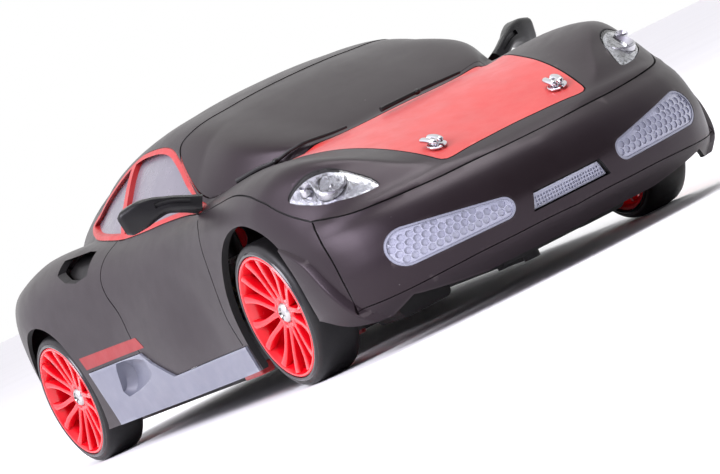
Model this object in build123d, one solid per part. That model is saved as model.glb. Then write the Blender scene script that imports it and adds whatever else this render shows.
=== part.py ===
from build123d import *
import math
import os

# A 1:24 scale drift car: +X is the nose, +Y the car's left, +Z up, origin on the ground
# below the middle of the bounding box. All sizes are in millimetres.
os.makedirs("parts", exist_ok=True)

# ---------------------------------------------------------------- driving dimensions
LENGTH = 188.0
FRONT_X = 51.1
REAR_X = -57.1
AXLE_Z = 13.25
TYRE_R = 13.25
RIM_R = 11.3
TYRE_IN = 31.0
TYRE_OUT = 40.0
SPOKES = 14
WALL = 1.5
GAP = 0.08
FLOOR_Z = 3.6
FLOOR_T = 1.2
NOSE_FLOOR_Z = 4.4
ARM_FOOT_Z = 3.7

KING_Y = 27.0
KING_R = 1.2
STEER_ARM = 8.5
TIE_Z = 21.2
TIE_T = 1.6
SERVO_X = FRONT_X - 2 * STEER_ARM
SERVO_Y = 10.0
AXLE_R = 1.0
FIT = 0.05

MODULE = 0.5
SPUR_T = 30
PINION_T = 12
CROWN_T = 24
BEVEL_T = 12
SPUR_X = -25.0
GEAR_W = 3.0
MOTOR_ANGLE = math.radians(149.0)
MOTOR_LENGTH = 20.0
MOTOR_R = 7.75
MOTOR_FLAT = 6.05

SERVO_TOP = 20.2
BOX_HALF = 7.6
BOX_WALL = 1.4
BOX_RISE = 6.7

CELL_R = 5.25
CELL_LENGTH = 44.5
CELL_X = 2.2
CELL_Z = 10.6
BOARD_Z = 18.4
SWITCH_X = -34.0
SWITCH_Y = 16.0
TRIM_X = 60.2

nodes = {}


# ---------------------------------------------------------------- small helpers
def keep(name, *shapes):
    nodes[name] = list(shapes)


def block(x0, x1, y0, y1, z0, z1):
    return Pos((x0 + x1) / 2, (y0 + y1) / 2, (z0 + z1) / 2) * Box(x1 - x0, y1 - y0, z1 - z0)


def rod_x(radius, x0, x1, y=0.0, z=AXLE_Z):
    return Pos((x0 + x1) / 2, y, z) * Rot(0, 90, 0) * Cylinder(radius, x1 - x0)


def rod_y(radius, y0, y1, x, z=AXLE_Z):
    return Pos(x, (y0 + y1) / 2, z) * Rot(90, 0, 0) * Cylinder(radius, abs(y1 - y0))


def rod_z(radius, z0, z1, x, y):
    return Pos(x, y, (z0 + z1) / 2) * Cylinder(radius, z1 - z0)


def mirrored(shape):
    return mirror(shape, about=Plane.XZ)


def smooth(points, at):
    """Height at `at` of a smooth curve that runs through the points without overshoot."""
    xs = [p[0] for p in points]
    ys = [p[1] for p in points]
    slope = [(ys[i + 1] - ys[i]) / (xs[i + 1] - xs[i]) for i in range(len(xs) - 1)]
    tangent = [slope[0]]
    for a, b in zip(slope, slope[1:]):
        tangent.append(2 * a * b / (a + b) if a * b > 0 else 0.0)
    tangent.append(slope[-1])
    at = min(max(at, xs[0]), xs[-1])
    i = next(k for k in range(len(slope)) if at <= xs[k + 1])
    step = xs[i + 1] - xs[i]
    t = (at - xs[i]) / step
    return (ys[i] * (1 + 2 * t) * (1 - t) ** 2 + step * tangent[i] * t * (1 - t) ** 2
            + ys[i + 1] * t * t * (3 - 2 * t) + step * tangent[i + 1] * t * t * (t - 1))


# ---------------------------------------------------------------- body surface
# Each curve runs along the car's length: centre line, fender crest, widest line and sill.
CENTRE_Z = [(-97, 38.2), (-80, 38.8), (-60, 39), (-30, 38.5), (20, 38), (46, 37), (60, 34.2),
            (72, 30.3), (81, 26.8), (88, 24), (97, 21)]
CREST_Z = [(-97, 37.6), (-85, 38.4), (-70, 39), (-57, 39.2), (-42, 38.8), (-25, 37.4), (0, 35.6),
           (25, 35.2), (40, 36.2), (50, 36.6), (60, 36.1), (71, 34.1), (79, 31), (86, 26.6), (97, 23)]
CREST_Y = [(-97, 21), (-75, 26), (-57, 31.5), (-30, 33.5), (0, 33.5), (25, 33), (50, 33), (70, 31.5),
           (85, 29), (97, 27)]
HALF_Y = [(-97, 29), (-88, 32.8), (-82, 35), (-76, 37.2), (-70, 39.3), (-64, 40.8), (-57, 41.3),
          (-35, 40.4), (-10, 39.2), (15, 38.8), (35, 39.6), (51, 40.6), (66, 40.4), (80, 39.5), (97, 38)]
HALF_Z = [(-97, 27), (-57, 24), (-10, 22), (51, 22), (80, 17), (97, 14)]
SILL_Y = [(-97, 26), (-80, 34), (-64, 40), (-57, 40.6), (0, 38.8), (51, 40), (80, 39), (97, 38)]
SILL_Z = [(-97, 10), (-60, 5.6), (0, 5.4), (40, 6.2), (62, 5.8), (97, 5.4)]
# Plan outline of the nose and tail, as the distance back from each end.
NOSE_PLAN = [(0, 0), (10, 0.8), (20, 3), (28, 6.2), (33, 9.8), (37, 15), (39.5, 22), (41, 39), (50, 60)]
TAIL_PLAN = [(0, 0), (12, 0.4), (20, 1.5), (26, 3.4), (31, 7), (35, 12.5), (38, 20), (41, 33), (50, 60)]
# Set-back of the nose and tail with height.
NOSE_LEAN = [(2, 7.5), (5.4, 4.8), (8.6, 1.4), (10.8, 0.5), (14, 0), (18, 1), (21, 2.6), (22.9, 4.6),
             (25, 7), (28, 10), (32, 14.5), (60, 36)]
TAIL_LEAN = [(2, 6), (8, 2), (14, 0.6), (22, 0), (30, 0.6), (38, 1.6), (60, 12)]

ROOF_Z = [(-80, 37), (-60, 43.2), (-45, 47.3), (-30, 50.2), (-15, 51.7), (-2, 52.2), (8, 51.4), (18, 49.3),
          (30, 45), (40, 40.8), (47, 37.4), (52, 34)]
BELT_Y = [(-80, 17), (-60, 25), (-40, 31), (-20, 34.4), (0, 35), (20, 33.6), (32, 30), (42, 24), (47, 19),
          (52, 14)]
ROOF_Y = [(-80, 11), (-60, 16), (-30, 20.5), (-2, 22), (15, 22.5), (30, 22.5), (42, 18), (52, 12)]
BELT_Z = 34.2
STATIONS = (-97, -88, -78, -67, -57, -45, -30, -12, 8, 25, 38, 51, 62, 72, 80, 88, 97)
CABIN_STATIONS = (-80, -68, -55, -42, -28, -14, 0, 12, 22, 32, 41, 47, 52)
LEVELS = (2, 6, 9, 12, 15, 19, 23, 27, 33, 42, 60)


def inset_points(points, inset):
    """Moves a half section's points inwards, square to the line through their neighbours."""
    if not inset:
        return points
    moved = []
    for i, (y, z) in enumerate(points):
        before = points[i - 1] if i else (-points[1][0], points[1][1])
        after = points[i + 1] if i + 1 < len(points) else (y, z - 1)
        dy, dz = after[0] - before[0], after[1] - before[1]
        size = math.hypot(dy, dz)
        moved.append((max(y + dz / size * inset, 0.0) if i else 0.0, z - dy / size * inset))
    return moved


def section_face(x, points, bottom):
    """Closed cross-section: a spline from sill to sill over the top, and a flat bottom."""
    right = [(x, -y, z) for y, z in reversed(points)]
    left = [(x, y, z) for y, z in points[1:]]
    top = Spline(*(right + left))
    low_right, low_left = (x, right[0][1], bottom), (x, left[-1][1], bottom)
    sides = Polyline(left[-1], low_left, low_right, right[0])
    return make_face(top + sides)


def body_section(x, inset):
    centre, crest = smooth(CENTRE_Z, x), smooth(CREST_Z, x)
    crest_y, half = smooth(CREST_Y, x), smooth(HALF_Y, x)
    half_z = smooth(HALF_Z, x)
    valley_y = crest_y * 0.62
    valley = centre + (crest - centre) * 0.45 - 0.5
    points = [(0, centre), (valley_y * 0.5, centre + (valley - centre) * 0.35), (valley_y, valley),
              (crest_y, crest), (crest_y + (half - crest_y) * 0.72, crest - (crest - half_z) * 0.28),
              (half, half_z), (smooth(SILL_Y, x), smooth(SILL_Z, x))]
    bottom = points[-1][1] - 0.4 - 3 * bool(inset)
    return section_face(x, inset_points(points, inset), bottom)


def cabin_section(x, inset):
    roof, belt_y = smooth(ROOF_Z, x), smooth(BELT_Y, x)
    rise = max(roof - BELT_Z, 0.6)
    lean = min(rise / 14, 1.0)
    roof_y = belt_y - (belt_y - smooth(ROOF_Y, x)) * lean
    shoulder = BELT_Z + rise * 0.87
    points = [(0, roof), (roof_y * 0.55, roof - (roof - shoulder) * 0.22), (roof_y, shoulder),
              (roof_y + (belt_y - roof_y) * 0.55, BELT_Z + rise * 0.48), (belt_y, BELT_Z)]
    return section_face(x, inset_points(points, inset), BELT_Z - 3)


def plan_face(z, inset):
    """Horizontal outline at one height, rounded at the nose and the tail."""
    nose = [(y, LENGTH / 2 - back - smooth(NOSE_LEAN, z) - inset) for y, back in NOSE_PLAN]
    tail = [(y, -LENGTH / 2 + back + smooth(TAIL_LEAN, z) + inset) for y, back in TAIL_PLAN]
    front = [(x, -y, z) for y, x in reversed(nose)] + [(x, y, z) for y, x in nose[1:]]
    back = [(x, y, z) for y, x in reversed(tail)] + [(x, -y, z) for y, x in tail[1:]]
    return make_face(Spline(*front) + Line(front[-1], back[0]) + Spline(*back) + Line(back[-1], front[0]))


def body_volume(inset):
    lower = loft([body_section(x, inset) for x in STATIONS])
    ends = loft([plan_face(z, inset) for z in LEVELS])
    stations = CABIN_STATIONS[1:-2] if inset else CABIN_STATIONS
    cabin = loft([cabin_section(x, inset) for x in stations])
    return (lower & ends) + cabin


# ---------------------------------------------------------------- outlines of the openings
# Half outlines seen from above, as (x, y); the other half is their mirror image.
WINDSCREEN = [(48, 0), (47.9, 10), (45.8, 19), (41, 24.5), (34, 28.2), (26, 30.7), (18, 28.9),
              (10.5, 24.5), (12, 21), (12.8, 10), (12.8, 0)]
REAR_WINDOW = [(-30, 0), (-30, 14), (-34, 17), (-60, 11.5), (-64, 8), (-64, 0)]
HEADLIGHT = [(68, 35.9), (69.4, 32.6), (71, 30.4), (73, 28.4), (76, 26.8), (80.8, 25.4), (79.6, 28.4),
             (77.2, 31.2), (73.4, 34.2)]
# Outlines seen from the side, as (x, z).
SIDE_WINDOW = [(21.5, 36.7), (15, 40.4), (8.8, 43.8), (3.4, 45.9), (-4, 47.3), (-16, 46.8), (-29, 44.9),
               (-40, 42.6), (-43, 41), (-24, 38.4), (-10, 37.2), (10, 36.6)]
SKIRT = [(-38.6, 17), (-12, 16.7), (-8, 14), (-1, 10.4), (33.8, 10.6), (35.4, 4), (-36, 4)]
INTAKE = [(-29, 38.4), (-14, 37.6), (-21.5, 34.2), (-28.5, 33.6)]
ARCH_FRONT_R = 16.8
ARCH_REAR_R = 15.8
# Outlines seen from the front or the back, as (y, z).
GRILLE = [(-6.9, 14), (6.9, 14), (8, 10.9), (-8, 10.9)]
REAR_GRILLE = [(-15, 17), (15, 17), (13, 11.8), (-13, 11.8)]
FOG_INNER = (12.6, 13.6, 2.0)
FOG_OUTER = (28.7, 15.2, 3.35)
TAIL_LAMPS = [(13.5, 27.5), (20.5, 27.2)]
TAIL_LAMP_R = 3.0
EXHAUST_Y = 8.0
EXHAUST_Z = 8.2
EXHAUST_R = 1.9
CLIP_X, CLIP_Y, CLIP_Z = 80.4, 12.7, 27.2
CLIP_TILT = 24.0
CLIP_STEM_R = 0.55


def prism(points, plane, start, length, grow=0.0):
    """Solid over a flat outline, from `start` to `start + length` along the plane's normal."""
    face = make_face(Polyline(*points, close=True))
    if grow:
        face = offset(face, amount=grow, kind=Kind.INTERSECTION)
    return extrude(plane.offset(start) * face, length)


def from_above(points, grow=0.0):
    return prism(points, Plane.XY, 24, 36, grow)


def from_side(points, near, grow=0.0):
    """Prism through the right flank only; a point is (x, z)."""
    return prism(points, Plane.XZ, near, 60 - near, grow)


def from_front(points, grow=0.0):
    """Prism through the nose; a point is (y, z)."""
    return prism(points, Plane.YZ, 60, 45, grow)


def from_back(points, grow=0.0):
    return prism(points, Plane.YZ, -105, 40, grow)


def whole(half):
    return half + [(x, -y) for x, y in reversed(half) if y]


def fog_points():
    """Outline round two circles and the straight runs that join them."""
    (y0, z0, r0), (y1, z1, r1) = FOG_INNER, FOG_OUTER
    span = math.hypot(y1 - y0, z1 - z0)
    along = math.atan2(z1 - z0, y1 - y0)
    open_angle = math.acos((r0 - r1) / span)
    points = []
    steps = 10
    for i in range(steps + 1):
        turn = -open_angle + i * 2 * open_angle / steps
        points.append((y1 + r1 * math.cos(along + turn), z1 + r1 * math.sin(along + turn)))
    for i in range(steps + 1):
        turn = open_angle + i * (2 * math.pi - 2 * open_angle) / steps
        points.append((y0 + r0 * math.cos(along + turn), z0 + r0 * math.sin(along + turn)))
    return points


# ---------------------------------------------------------------- body shell and its inserts
def clip_place(side):
    """Where a bonnet clip stands, square to the sloping nose."""
    return Pos(CLIP_X, side * CLIP_Y, CLIP_Z) * Rot(0, CLIP_TILT, 0)


def make_shell():
    wall = body_volume(0) - body_volume(WALL)
    fog = fog_points()
    cutters = []

    def insert(name, maker, points, *rest, pair=True):
        cutter = maker(points, *rest)
        piece = wall & maker(points, *rest, grow=-GAP)
        cutters.append(cutter)
        if pair:
            cutters.append(mirrored(cutter))
        keep(name, *([piece, mirrored(piece)] if pair else [piece]))

    insert("windscreen", from_above, whole(WINDSCREEN), pair=False)
    insert("rear_window", from_above, whole(REAR_WINDOW), pair=False)
    insert("grille_centre", from_front, GRILLE, pair=False)
    insert("rear_grille", from_back, REAR_GRILLE, pair=False)
    insert("headlight_lenses", from_above, [(x, -y) for x, y in HEADLIGHT])
    insert("fog_grilles", from_front, [(-y, z) for y, z in fog])
    insert("side_glazing", from_side, SIDE_WINDOW, 15)
    insert("side_skirts", from_side, SKIRT, 30)
    insert("haunch_intakes", from_side, INTAKE, 30)
    for side in (-1, 1):
        for y, z in TAIL_LAMPS:
            cutters.append(rod_x(TAIL_LAMP_R, -105, -80, side * y, z))
        cutters.append(rod_x(EXHAUST_R + 0.4, -105, -80, side * EXHAUST_Y, EXHAUST_Z))
        cutters.append(clip_place(side) * Cylinder(CLIP_STEM_R + 0.3, 12))
        for x, radius in ((FRONT_X, ARCH_FRONT_R), (REAR_X, ARCH_REAR_R)):
            cutters.append(rod_y(radius, side * 33, side * 60, x))
    lamps = [wall & rod_x(TAIL_LAMP_R - GAP, -105, -80, side * y, z) for side in (-1, 1) for y, z in TAIL_LAMPS]
    keep("tail_lamps", *lamps)
    shell = wall
    for cutter in cutters:
        shell = shell - cutter
    keep("body_shell", shell)


def make_lamps():
    """Bright reflector bowls behind the headlight lenses."""
    bowls = []
    for side in (-1, 1):
        place = Pos(72.2, side * 30.3, 26.2) * Rot(0, 35, 0)
        bowls.append(place * Cylinder(2.7, 3.2) - place * Pos(0, 0, 0.5) * Cylinder(2.2, 3.2))
    keep("headlight_reflectors", *bowls)


def make_exhaust():
    tips = []
    for side in (-1, 1):
        tube = rod_x(EXHAUST_R, -92.6, -84, side * EXHAUST_Y, EXHAUST_Z)
        tips.append(tube - rod_x(EXHAUST_R - 0.35, -93, -86, side * EXHAUST_Y, EXHAUST_Z))
    keep("exhaust_tips", *tips)


def make_clips():
    clips = []
    for side in (-1, 1):
        place = clip_place(side)
        base = place * Pos(0, 0, 0.75) * Cylinder(1.7, 0.5)
        stem = place * Pos(0, 0, -0.6) * Cylinder(CLIP_STEM_R, 3.6)
        lobes = [place * Pos(0, dy, 1.7) * Rot(0, 90, 0) * Torus(0.75, 0.28) for dy in (-1.0, 1.0)]
        clips.append(base + stem + lobes[0] + lobes[1] + place * Pos(0, 0, 1.2) * Box(0.6, 3.0, 0.8))
    keep("bonnet_clips", *clips)


def bar(a, b, radius):
    """Round bar between two points."""
    start, end = Vector(*a), Vector(*b)
    path = Plane(origin=start, z_dir=end - start)
    return extrude(path * Circle(radius), (end - start).length)


def make_wipers(body):
    right = bar((36, -29, 37.8), (43.2, -23.8, 37.9), 0.35) + bar((43.2, -23.8, 37.9), (49.9, -11.5, 37.6), 0.35)
    left = bar((51.2, -4.8, 37.2), (50.9, 3.2, 37.3), 0.35) + bar((50.9, 3.2, 37.3), (49.7, 13, 37.6), 0.35)
    keep("wipers", right - body, left - body)


def make_mirrors(body):
    """Door mirrors; each arm ends on the body's surface."""
    arm = bar((29, -33, 34.9), (25.4, -37.4, 36.9), 1.1) + bar((25.4, -37.4, 36.9), (22.6, -41, 38), 1.1)
    head = Pos(21.3, -42.1, 38.3) * Rot(16, -6, -32) * Box(3.4, 8.2, 4.2)
    mirror_right = fillet(head.edges(), 1.2) + arm - body
    keep("mirror_right", mirror_right)
    keep("mirror_left", mirrored(mirror_right))


# ---------------------------------------------------------------- wheels
def make_rim(side):
    """Dished rim with slim spokes that run from the hub to the edge."""
    face = TYRE_OUT - 0.5
    barrel = rod_y(RIM_R, TYRE_IN, face, 0, 0) - rod_y(RIM_R - 0.9, TYRE_IN - 1, face + 1, 0, 0)
    hub = rod_y(2.9, 33.6, face - 0.8, 0, 0)
    spokes = [Rot(0, (360 / SPOKES) * i, 0) * block(2.2, RIM_R - 0.6, face - 2.2, face - 0.9, -0.55, 0.55)
              for i in range(SPOKES)]
    rim = barrel + hub
    for spoke in spokes:
        rim = rim + spoke
    rim = rim - rod_y(AXLE_R, 30, 50, 0, 0) - rod_y(2.1, face - 1.2, 50, 0, 0)
    return rim if side > 0 else mirrored(rim)


def make_tyre(side):
    edge = 0.8
    tyre = rod_y(TYRE_R, TYRE_IN, TYRE_OUT, 0, 0)
    tyre = fillet(tyre.edges().filter_by(GeomType.CIRCLE), edge) - rod_y(RIM_R, 30, 50, 0, 0)
    return tyre if side > 0 else mirrored(tyre)


def make_wheel_screw(side):
    """Cross-head screw in the end of the axle, in the rim's recess."""
    seat = TYRE_OUT - 1.7
    screw = rod_y(1.9, seat, seat + 0.9, 0, 0)
    screw = screw - block(-1.2, 1.2, seat + 0.5, seat + 2, -0.2, 0.2)
    screw = screw - block(-0.2, 0.2, seat + 0.5, seat + 2, -1.2, 1.2)
    return screw if side > 0 else mirrored(screw)


def make_wheels():
    for x, end in ((FRONT_X, "front"), (REAR_X, "rear")):
        for side, hand in ((-1, "right"), (1, "left")):
            place = Pos(x, 0, AXLE_Z)
            keep(f"rim_{end}_{hand}", place * make_rim(side))
            keep(f"tyre_{end}_{hand}", place * make_tyre(side))
            keep(f"wheel_screw_{end}_{hand}", place * make_wheel_screw(side))


# ---------------------------------------------------------------- front axle and steering
def make_knuckle(side):
    x = FRONT_X
    carrier = block(x - 3.6, x + 3.6, 24.4, 30, 7.4, 19)
    boss = rod_y(2.8, 30, 33.3, x)
    carrier = carrier + boss + rod_z(KING_R, 4.2, 22.4, x, KING_Y)
    arm = block(x - STEER_ARM - 1.4, x - 3, KING_Y - 1.4, KING_Y + 1.4, 16, 18.2)
    pin = rod_z(0.8, 18, TIE_Z + TIE_T + 0.6, x - STEER_ARM, KING_Y)
    knuckle = carrier + arm + pin
    knuckle = knuckle - rod_y(3.0, 20, 28.9, x) - rod_y(AXLE_R + FIT, 20, 40, x)
    return knuckle if side > 0 else mirrored(knuckle)


def make_front_hubs():
    for side, hand in ((-1, "right"), (1, "left")):
        cup = rod_y(2.5, 25.4, 28.7, FRONT_X) - rod_y(1.75, 20, 28.2, FRONT_X)
        stub = cup + rod_y(AXLE_R, 28.2, TYRE_OUT - 1.7, FRONT_X)
        keep("knuckle_" + hand, make_knuckle(side))
        keep("stub_axle_" + hand, stub if side > 0 else mirrored(stub))


def make_front_arms():
    """Upper and lower arms from the gearbox, with round ends that hold the kingpins."""
    for name, z0, z1 in (("front_lower_arms", 4.9, 6.6), ("front_upper_arms", 19.6, 21.0)):
        arm = block(FRONT_X - 3, FRONT_X + 3, BOX_HALF + BOX_WALL, KING_Y, z0, z1)
        if name == "front_lower_arms":
            foot = block(FRONT_X + 2, FRONT_X + 12, 13.5, 24, ARM_FOOT_Z, z1 + 0.4)
            arm = arm + fillet(foot.edges().filter_by(Axis.X), 1.2)
        arm = arm + rod_z(3, z0, z1, FRONT_X, KING_Y) - rod_z(KING_R + FIT, z0 - 1, z1 + 1, FRONT_X, KING_Y)
        keep(name, arm, mirrored(arm))


def make_steering():
    tie_x = FRONT_X - STEER_ARM
    bar_half = KING_Y + 1.8
    rod = block(tie_x - 2, tie_x + 2, -bar_half, bar_half, TIE_Z, TIE_Z + TIE_T)
    for y in (-KING_Y, SERVO_Y, KING_Y):
        rod = rod - block(tie_x - 1.6, tie_x + 1.6, y - 0.95, y + 0.95, TIE_Z - 1, TIE_Z + 3)
    keep("tie_rod", rod)
    arm_z = TIE_Z + TIE_T + 0.3
    arm = block(SERVO_X, tie_x, SERVO_Y - 1.1, SERVO_Y + 1.1, arm_z, arm_z + 1.4)
    arm = arm + rod_z(2.3, arm_z - 1.5, arm_z + 1.4, SERVO_X, SERVO_Y) + rod_z(1.1, arm_z, arm_z + 1.4, tie_x, SERVO_Y)
    arm = arm + rod_z(0.8, TIE_Z + 0.2, arm_z, tie_x, SERVO_Y)
    keep("servo_arm", arm + rod_z(1.2, SERVO_TOP - 2, arm_z, SERVO_X, SERVO_Y))
    case = block(26.5, 39.4, 3.4, 16.8, NOSE_FLOOR_Z + FLOOR_T, SERVO_TOP)
    socket = rod_z(1.2 + FIT, SERVO_TOP - 2.2, SERVO_TOP + 1, SERVO_X, SERVO_Y)
    keep("steering_servo", fillet(case.edges().filter_by(Axis.Z), 1.2) - socket)


def make_trim_lever():
    """Lever under the nose that sets the straight-ahead position."""
    tip, low, high = TRIM_X + 9, NOSE_FLOOR_Z - 1.1, NOSE_FLOOR_Z - 0.05
    lever = rod_z(2.2, low, high, TRIM_X, 0) + block(TRIM_X, tip, -1, 1, low, high)
    lever = lever + rod_z(1.5, low - 0.2, high, tip, 0) + rod_z(1.2, high, 7, TRIM_X, 0)
    keep("steering_trim_lever", lever)


# ---------------------------------------------------------------- gears and shafts
def tooth_ring(count, radius, width, phase=0.0):
    """Spur gear along X with slim teeth; `phase` is the angle of the first tooth in degrees."""
    tip, root = radius + 0.38, radius - 0.55
    pitch = 2 * math.pi * radius / count
    gear = Rot(0, 90, 0) * Cylinder(root, width)
    outline = [(root - 0.2, -0.26 * pitch), (root - 0.2, 0.26 * pitch), (tip, 0.13 * pitch), (tip, -0.13 * pitch)]
    tooth = extrude(Plane.YZ.offset(-width / 2) * make_face(Polyline(*outline, close=True)), width)
    teeth = [Rot(phase + 360 / count * i, 0, 0) * tooth for i in range(count)]
    return gear.fuse(*teeth)


def bevel_gear(count, mate, phase=0.0):
    """Bevel gear along X whose cone's apex is the origin, with its back towards +X."""
    cone = math.atan2(count, mate)
    far = MODULE * math.hypot(count, mate) / 2
    near = far - 2.4
    normal = (-math.sin(cone), math.cos(cone))

    def ring_point(distance, height, sideways):
        size = distance / far
        x = distance * math.cos(cone) + normal[0] * height * size
        r = distance * math.sin(cone) + normal[1] * height * size
        return (x, sideways * size, r)

    pitch = math.pi * MODULE
    low, top = -0.6, 0.36
    sections = []
    for distance in (near, far):
        corners = [ring_point(distance, low, -0.25 * pitch), ring_point(distance, low, 0.25 * pitch),
                   ring_point(distance, top, 0.12 * pitch), ring_point(distance, top, -0.12 * pitch)]
        sections.append(make_face(Polyline(*corners, close=True)))
    tooth = loft(sections, ruled=True)
    near_x, _, near_r = ring_point(near, -0.45, 0)
    far_x, _, far_r = ring_point(far, -0.45, 0)
    back = far_x + 1.2
    profile = Polyline((near_x, 0, 0), (near_x, 0, near_r), (far_x, 0, far_r), (back, 0, far_r), (back, 0, 0),
                       close=True)
    blank = revolve(make_face(profile), Axis.X, 360)
    teeth = [Rot(phase + 360 / count * i, 0, 0) * tooth for i in range(count)]
    return blank.fuse(*teeth), near_x, back


def make_driveline():
    crown, _, _ = bevel_gear(CROWN_T, BEVEL_T, 180 / CROWN_T + 90)
    pinion, pinion_near, _ = bevel_gear(BEVEL_T, CROWN_T, 90)
    rear_at, front_at = Pos(REAR_X, 0, AXLE_Z), Pos(FRONT_X, 0, AXLE_Z)
    rear_crown = rear_at * Rot(0, 0, 90) * crown
    front_crown = front_at * Rot(0, 0, -90) * crown
    keep("rear_crown_gear", rear_crown - rod_y(1.5, -20, 20, REAR_X))
    keep("front_crown_gear", front_crown - rod_y(1.5, -20, 20, FRONT_X))
    keep("bevel_pinions", rear_at * pinion - rod_x(AXLE_R, REAR_X, 0),
         front_at * Rot(0, 0, 180) * pinion - rod_x(AXLE_R, 0, FRONT_X))
    keep("centre_shaft", rod_x(AXLE_R, REAR_X + pinion_near, FRONT_X - pinion_near))
    mesh = math.degrees(MOTOR_ANGLE)
    spur = Pos(SPUR_X, 0, AXLE_Z) * tooth_ring(SPUR_T, MODULE * SPUR_T / 2, GEAR_W, mesh)
    keep("spur_gear", spur - rod_x(AXLE_R, SPUR_X - 5, SPUR_X + 5))
    rear_axle = rod_y(AXLE_R, -TYRE_OUT + 1.7, TYRE_OUT - 1.7, REAR_X) + rod_y(1.5, -9.4, 9.4, REAR_X)
    keep("rear_axle", rear_axle)
    outdrives = [rod_y(2.3, 10.2, 13, FRONT_X) - rod_y(1.3, 11, 14, FRONT_X)]
    outdrives.append(mirrored(outdrives[0]))
    keep("front_axle", rod_y(1.5, -11, 11, FRONT_X) + outdrives[0] + outdrives[1])
    bone = rod_y(0.75, 11.4, KING_Y, FRONT_X) + Pos(FRONT_X, KING_Y, AXLE_Z) * Sphere(1.0)
    bone = bone + Pos(FRONT_X, 12.2, AXLE_Z) * Sphere(1.15)
    keep("dogbones", bone, mirrored(bone))


def make_motor():
    reach = MODULE * (SPUR_T + PINION_T) / 2
    y, z = reach * math.cos(MOTOR_ANGLE), AXLE_Z + reach * math.sin(MOTOR_ANGLE)
    front = SPUR_X - GEAR_W / 2 - 1.2
    back = front - MOTOR_LENGTH
    flats = block(back - 5, front + 5, y - 20, y + 20, z - MOTOR_FLAT, z + MOTOR_FLAT)
    can = (rod_x(MOTOR_R, back + 3, front, y, z) + rod_x(MOTOR_R - 0.4, back, back + 3, y, z)) & flats
    keep("motor", can - rod_x(0.8 + FIT, back - 1, front + 1, y, z))
    keep("motor_shaft", rod_x(0.8, back + 0.6, SPUR_X + GEAR_W / 2 + 0.6, y, z))
    mesh = math.degrees(MOTOR_ANGLE) + 180 + 180 / PINION_T
    pinion = Pos(SPUR_X, y, z) * tooth_ring(PINION_T, MODULE * PINION_T / 2, GEAR_W, mesh)
    keep("motor_pinion", pinion - rod_x(0.8, SPUR_X - 5, SPUR_X + 5, y, z))
    cradle = block(back + 4, front - 3, y - MOTOR_R - 1.4, y + MOTOR_R + 0.4, FLOOR_Z + FLOOR_T, z - 2)
    cradle = cradle - rod_x(MOTOR_R + FIT, back, front, y, z) - rod_x(2, back, front)
    return cradle - block(back, front, y - 20, y + 20, z - MOTOR_FLAT - FIT, z)


# ---------------------------------------------------------------- chassis
def make_gearbox(name, x, shaft_side):
    """Split gearbox round the crown gear; `shaft_side` is +1 where the centre shaft leaves it."""
    reach = {shaft_side: 9.0, -shaft_side: BOX_RISE + 0.9}
    low, high = x - reach[-1], x + reach[1]
    top = BOX_RISE + 0.9
    outer = block(low, high, -BOX_HALF - BOX_WALL, BOX_HALF + BOX_WALL, AXLE_Z - top, AXLE_Z + top)
    inner = block(low + 0.9 + 0.5 * (shaft_side < 0), high - 0.9 - 0.5 * (shaft_side > 0), -BOX_HALF, BOX_HALF,
                  AXLE_Z - BOX_RISE, AXLE_Z + BOX_RISE)
    shaft_hole = rod_x(1.9, x, x + shaft_side * 12) if shaft_side > 0 else rod_x(1.9, x - 12, x)
    case = outer - inner - rod_y(2.4, -20, 20, x) - shaft_hole
    screws, holes = screw_set(x, AXLE_Z + top)
    for hole in holes:
        case = case - hole
    base = case & block(low - 1, high + 1, -20, 20, 0, AXLE_Z)
    cover = case & block(low - 1, high + 1, -20, 20, AXLE_Z, 40)
    keep(name + "_gearbox", base, cover)
    wall_x = x + shaft_side * (9.0 - 0.7)
    bushes = [rod_x(1.9, wall_x - 0.7, wall_x + 0.7) - rod_x(AXLE_R + FIT, wall_x - 2, wall_x + 2)]
    for side in (-1, 1):
        y = side * (BOX_HALF + BOX_WALL / 2)
        half = BOX_WALL / 2
        bushes.append(rod_y(2.4, y - half, y + half, x) - rod_y(1.5 + FIT, y - 2, y + 2, x))
    return bushes, screws


def screw_set(x, top):
    """Four screws down the gearbox walls, and the holes they need."""
    screws, holes = [], []
    for dx in (-5, 5):
        for side in (-1, 1):
            y = side * (BOX_HALF + BOX_WALL / 2)
            screws.append(rod_z(1.2, top, top + 0.5, x + dx, y) + rod_z(0.5, top - 9, top, x + dx, y))
            holes.append(rod_z(0.5, top - 9, top + 1, x + dx, y))
    return screws, holes


def make_hub_carriers():
    carrier = block(REAR_X - 3.4, REAR_X + 3.4, 22.4, 26.6, FLOOR_Z + FLOOR_T, 18.4)
    carrier = carrier + rod_y(3, 26.6, 30.2, REAR_X) - rod_y(1.8, 20, 40, REAR_X)
    keep("rear_hub_carriers", carrier, mirrored(carrier))
    bush = rod_y(1.8, 26.6, 30.2, REAR_X) - rod_y(AXLE_R + FIT, 20, 40, REAR_X)
    return [bush, mirrored(bush)]


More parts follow.
